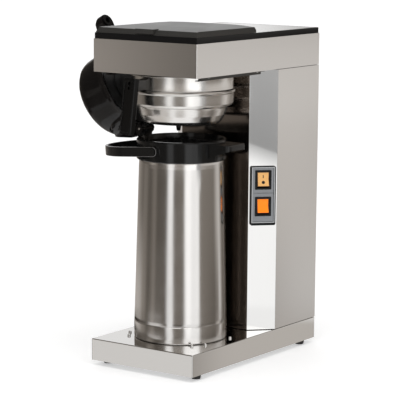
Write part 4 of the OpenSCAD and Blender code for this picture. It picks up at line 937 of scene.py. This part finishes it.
class COFFEE_OT_flask(PieceMaker, Operator):
    """Insulated flask with its collar and bail"""

    bl_idname = "coffee.flask"
    bl_label = "Flask"

    def other_pieces(self):
        for cad_node in ("flask_shell", "flask_foot"):
            turned(cad_node, "flask steel", FLASK_CORNER)
        turned("flask_liner", "tank steel")


class COFFEE_OT_pump_lid(PieceMaker, Operator):
    """The open pump lid with its button, bellows and spout"""

    bl_idname = "coffee.pump_lid"
    bl_label = "Pump lid"


# ---- Stage ----------------------------------------------------------------------------------------

# Where the camera stands, its angles in degrees and its lens in mm
CAMERA_PLACE = (1.8248, -2.5958, 0.7590)
CAMERA_TURN = 35.326
CAMERA_PITCH = 8.89
CAMERA_ROLL = 0.47
CAMERA_LENS = 172.2

# Brightness of the light tent around the object, as (angle in degrees from +X, brightness), from its lowest band up
GROUND_BAND = [
    (-180, 0.62), (-120, 0.62), (-92, 0.75), (-86, 1.10), (-74, 1.05), (-68, 0.72), (-50, 0.75), (-42, 1.15),
    (-12, 1.10), (-7, 0.30), (5, 0.16), (14, 0.55), (30, 0.62), (40, 0.30), (60, 0.30), (100, 0.62), (180, 0.62),
]
FOOT_BAND = [
    (-180, 0.10), (-145, 0.10), (-134, 0.76), (-110, 0.78), (-95, 0.16), (-89, 0.14), (-85, 1.20), (-75, 1.15),
    (-71, 0.10), (-50, 0.08), (-42, 1.25), (-28, 1.12), (-9, 1.15), (-5, 0.18), (40, 0.10), (51, 0.54), (61, 0.54),
    (65, 0.05), (180, 0.04),
]
LOW_BAND = [
    (-180, 0.60), (-172, 0.50), (-164, 0.31), (-154, 0.28), (-149, 0.16), (-140, 0.12), (-131, 0.20), (-126, 0.28),
    (-117, 0.14), (-92, 0.13), (-86, 0.95), (-74, 1.20), (-70, 0.24), (-48, 0.17), (-39, 1.50), (-31, 1.45),
    (-27, 1.22), (-22, 1.20), (-9, 1.32), (-6, 0.24), (38, 0.13), (53, 0.20), (58, 0.78), (62, 0.78), (68, 0.25),
    (90, 0.25), (118, 0.85), (138, 0.80), (150, 0.50), (180, 0.60),
]
BASKET_BAND = [
    (-180, 0.10), (-150, 0.10), (-138, 0.42), (-130, 0.22), (-116, 0.16), (-92, 0.32), (-88, 1.60), (-78, 1.20),
    (-74, 1.00), (-70, 0.62), (-50, 0.62), (-44, 1.75), (-9, 1.85), (-5, 0.62), (12, 0.52), (30, 0.62), (46, 0.85),
    (64, 0.65), (72, 0.45), (108, 0.20), (124, 0.25), (129, 0.88), (138, 0.88), (144, 0.10), (180, 0.10),
]
FLASK_BAND = [
    (-180, 0.19), (-172, 0.15), (-166, 0.21), (-154, 0.19), (-149, 0.12), (-140, 0.10), (-131, 0.18), (-126, 0.22),
    (-117, 0.10), (-92, 0.11), (-86, 1.25), (-76, 1.25), (-73, 0.15), (-48, 0.19), (-43, 1.50), (-31, 1.45),
    (-27, 1.24), (-22, 1.22), (-9, 1.32), (-6, 0.24), (38, 0.20), (51, 0.58), (61, 0.68), (66, 0.30), (90, 0.25),
    (118, 0.88), (134, 0.88), (140, 0.55), (150, 0.34), (180, 0.19),
]
HEAD_BAND = [
    (-180, 0.15), (-150, 0.15), (-140, 0.30), (-132, 0.42), (-124, 0.24), (-116, 0.05), (-92, 0.14), (-88, 1.60),
    (-74, 1.60), (-71, 0.28), (-48, 0.36), (-43, 1.65), (-9, 1.85), (-5, 0.60), (38, 0.62), (46, 0.67), (64, 0.65),
    (72, 0.55), (95, 0.40), (108, 0.40), (116, 0.88), (140, 0.88), (150, 0.15), (180, 0.15),
]
TOP_BAND = [
    (-180, 0.10), (-120, 0.10), (-100, 0.45), (40, 0.45), (58, 0.10), (105, 0.10), (118, 0.92), (140, 0.92),
    (155, 0.10), (180, 0.10),
]
# Each band with the height at which it starts, and how softly it does so
BANDS = (
    (-1.6, 0.01, GROUND_BAND), (-0.40, 0.03, FOOT_BAND), (-0.168, 0.006, LOW_BAND), (-0.01, 0.11, FLASK_BAND),
    (0.298, 0.008, BASKET_BAND), (0.342, 0.006, HEAD_BAND), (0.52, 0.01, TOP_BAND),
)
WALL_TOP = 2.5
TENT_STEPS = 180
# Share by which the tent's darkest parts are warmer than white
TENT_WARMTH = 0.16
# A grey card beside the head, which the upper end of the polished strip mirrors: its lower corners as (y, z), and
# the depth of the paler margin below it
CARD_X = 0.40
CARD_ENDS = ((-0.193, 0.3145), (-0.118, 0.2971))
CARD_TOP = 0.62
CARD_GREY = 0.42
CARD_MARGIN = 0.034
# The paper floor's tone, from its darker to its paler parts
PAPER_TONES = (0.90, 0.92)
# The sky's tone from straight below to straight above, as (share of the way up, tone)
SKY_TONES = ((0.0, 1.0), (0.62, 1.0), (0.75, 0.62), (1.0, 0.70))
LAMP_PLACE = (0.4, -0.6, 2.2)
LAMP_AIM = (0, 0, 0.2)
LAMP_SIZE = (1.6, 1.2)


def camera_axes():
    turn, pitch, roll = (math.radians(v) for v in (CAMERA_TURN, CAMERA_PITCH, CAMERA_ROLL))
    right = Vector((math.cos(turn), math.sin(turn), 0))
    back = Vector((math.sin(turn) * math.cos(pitch), -math.cos(turn) * math.cos(pitch), math.sin(pitch)))
    up = back.cross(right)
    across = math.cos(roll) * right + math.sin(roll) * up
    upward = -math.sin(roll) * right + math.cos(roll) * up
    return across, upward, back


def lamp_tint(bright):
    """White where the tent is bright, and a little warmer the darker it is."""
    warm = TENT_WARMTH * max(0.0, 1 - 2 * bright)
    return (bright * (1 + warm), bright, bright * (1 - warm), 1)


def glow_material(name):
    """A bare material, with its tree and the place in it."""
    made = bpy.data.materials.new(name)
    made.use_nodes = True
    tree = made.node_tree
    tree.nodes.clear()
    where = tree.nodes.new("ShaderNodeTexCoord").outputs["Object"]
    return made, tree, node(tree, "ShaderNodeSeparateXYZ", {0: where}).outputs


def close_glow(tree, shade, strength):
    glow = node(tree, "ShaderNodeEmission", {"Color": shade, "Strength": strength})
    node(tree, "ShaderNodeOutputMaterial", {"Surface": glow.outputs[0]})


def flat_sheet(name, corners):
    mesh = bpy.data.meshes.new(name)
    mesh.from_pydata(corners, [], [(0, 1, 2, 3)])
    return mesh


def seen_in_reflections_only(thing):
    for ray in ("camera", "diffuse", "transmission", "volume_scatter", "shadow"):
        setattr(thing, "visible_" + ray, False)


class COFFEE_OT_stage(Operator):
    """Pale floor, soft studio light and the camera"""

    bl_idname = "coffee.stage"
    bl_label = "Stage"

    def execute(self, context):
        stage = context.scene.coffee_stage
        self.camera(context)
        self.floor(stage)
        self.sky(context, stage)
        self.tent(stage)
        self.card()
        self.lamp(stage)
        context.scene.view_settings.view_transform = "Standard"
        return {"FINISHED"}

    def camera(self, context):
        data = bpy.data.cameras.new("camera")
        data.lens = CAMERA_LENS
        data.sensor_width = 36
        data.sensor_fit = "HORIZONTAL"
        data.clip_end = 200
        camera = added("camera", data)
        facing = Matrix(camera_axes()).transposed().to_4x4()
        camera.matrix_world = Matrix.Translation(CAMERA_PLACE) @ facing
        context.scene.camera = camera

    def floor(self, stage):
        half = stage.floor_size / 2
        mesh = flat_sheet("floor", [(-half, -half, 0), (half, -half, 0), (half, half, 0), (-half, half, 0)])
        floor = added("floor", mesh)
        made, tree, shader, where = blank_material("floor paper", 0.0)
        spots = noise(tree, where, 3.0, 3.0).outputs[0]
        dark, pale = PAPER_TONES
        feed(tree, shader, {
            "Roughness": 0.6, "Emission Color": grey(1.0), "Emission Strength": stage.floor_glow,
            "Base Color": ramp(tree, spots, [(0.3, grey(dark)), (0.7, grey(pale))]),
        })
        mesh.materials.append(made)
        floor.visible_glossy = False

    def sky(self, context, stage):
        world = bpy.data.worlds.new("sky")
        world.use_nodes = True
        tree = world.node_tree
        back = tree.nodes["Background"]
        where = tree.nodes.new("ShaderNodeTexCoord").outputs["Generated"]
        height = node(tree, "ShaderNodeSeparateXYZ", {0: where}).outputs["Z"]
        risen = maths(tree, "MULTIPLY_ADD", height, 0.5, 0.5)
        shade = ramp(tree, risen, [(place, grey(tone)) for place, tone in SKY_TONES])
        feed(tree, back, {"Color": shade, "Strength": stage.sky})
        context.scene.world = world

    def tent(self, stage):
        """A ring of light panels that only reflections see, as around a product on a table."""
        bm = bmesh.new()
        rings = [[bm.verts.new((stage.tent_radius * math.cos(a), AXIS.y + stage.tent_radius * math.sin(a), z))
                  for a in (2 * math.pi * i / TENT_STEPS for i in range(TENT_STEPS))]
                 for z in (BANDS[0][0], WALL_TOP)]
        for i in range(TENT_STEPS):
            j = (i + 1) % TENT_STEPS
            bm.faces.new((rings[0][i], rings[1][i], rings[1][j], rings[0][j]))
        mesh = bpy.data.meshes.new("light tent")
        bm.to_mesh(mesh)
        bm.free()
        tent = added("light_tent", mesh)
        made, tree, apart = glow_material("tent light")
        y = maths(tree, "SUBTRACT", apart["Y"], AXIS.y)
        angle = maths(tree, "ARCTAN2", y, apart["X"])
        turn = maths(tree, "MULTIPLY_ADD", angle, 0.5 / math.pi, 0.5)
        top = max(bright for _, _, band in BANDS for _, bright in band)
        shade = None
        for start, soft, band in BANDS:
            lit = ramp(tree, turn, [((a + 180) / 360, lamp_tint(bright / top)) for a, bright in band])
            step = node(tree, "ShaderNodeMapRange", {
                "Value": apart["Z"], "From Min": start - soft, "From Max": start + soft,
            }).outputs[0]
            shade = mixed(tree, step, shade, lit) if shade else lit
        close_glow(tree, shade, top)
        mesh.materials.append(made)
        seen_in_reflections_only(tent)

    def card(self):
        """A grey card with a slanted lower edge and a paler margin below it, which fades downwards into white."""
        (y0, z0), (y1, z1) = CARD_ENDS
        slope = (z1 - z0) / (y1 - y0)
        ends = [(y0, z0 - CARD_MARGIN), (y1, z1 - CARD_MARGIN), (y1, CARD_TOP), (y0, CARD_TOP)]
        mesh = flat_sheet("grey card", [(CARD_X, y, z) for y, z in ends])
        card = added("grey_card", mesh)
        made, tree, apart = glow_material("card light")
        edge = maths(tree, "MULTIPLY_ADD", apart["Y"], slope, z0 - slope * y0)
        above = maths(tree, "SUBTRACT", apart["Z"], edge)
        grey_part = node(tree, "ShaderNodeMapRange", {
            "Value": above, "From Min": 0.0, "From Max": 0.15, "To Min": CARD_GREY * 0.95, "To Max": CARD_GREY * 1.2,
        }).outputs[0]
        margin = node(tree, "ShaderNodeMapRange", {
            "Value": above, "From Min": -CARD_MARGIN, "From Max": 0.0, "To Min": 1.22, "To Max": 0.60,
        }).outputs[0]
        step = value(tree, "ShaderNodeMapRange", {"Value": above, "From Min": -0.001, "From Max": 0.001})
        drop = maths(tree, "MULTIPLY", step, maths(tree, "SUBTRACT", grey_part, margin))
        close_glow(tree, grey(1.0), maths(tree, "ADD", margin, drop))
        mesh.materials.append(made)
        seen_in_reflections_only(card)

    def lamp(self, stage):
        data = bpy.data.lights.new("overhead", "AREA")
        data.shape = "RECTANGLE"
        data.size, data.size_y = LAMP_SIZE
        data.energy = stage.key
        lamp = added("overhead", data)
        lamp.location = LAMP_PLACE
        lamp.rotation_euler = (Vector(LAMP_AIM) - lamp.location).to_track_quat("-Z", "Y").to_euler()


class COFFEE_PT_panel(Panel):
    """Settings and pieces of the coffee maker"""

    bl_idname = "COFFEE_PT_panel"
    bl_label = "Coffee maker"
    bl_space_type = "VIEW_3D"
    bl_region_type = "UI"
    bl_category = "Coffee maker"

    def draw(self, context):
        for group in ("coffee_sizes", "coffee_finishes", "coffee_stage"):
            values = getattr(context.scene, group)
            box = self.layout.box()
            for key in values.__annotations__:
                box.prop(values, key)
        for operator in OPERATORS:
            self.layout.operator(operator.bl_idname)


GROUPS = {"coffee_sizes": CoffeeSizes, "coffee_finishes": CoffeeFinishes, "coffee_stage": CoffeeStage}
OPERATORS = [
    COFFEE_OT_cabinet, COFFEE_OT_fill_lid, COFFEE_OT_switches, COFFEE_OT_basket, COFFEE_OT_flask,
    COFFEE_OT_pump_lid, COFFEE_OT_stage,
]


def register():
    for made in list(GROUPS.values()) + OPERATORS + [COFFEE_PT_panel]:
        bpy.utils.register_class(made)
    for name, made in GROUPS.items():
        setattr(bpy.types.Scene, name, PointerProperty(type=made))


def unregister():
    for name in GROUPS:
        delattr(bpy.types.Scene, name)
    for made in [COFFEE_PT_panel] + OPERATORS[::-1] + list(GROUPS.values())[::-1]:
        bpy.utils.unregister_class(made)


def main():
    register()
    make_materials()
    screw_tree()
    turned_tree()
    bpy.ops.coffee.cabinet()
    bpy.ops.coffee.fill_lid()
    bpy.ops.coffee.switches()
    bpy.ops.coffee.basket()
    bpy.ops.coffee.flask()
    bpy.ops.coffee.pump_lid()
    bpy.ops.coffee.stage()


if __name__ == "__main__":
    main()
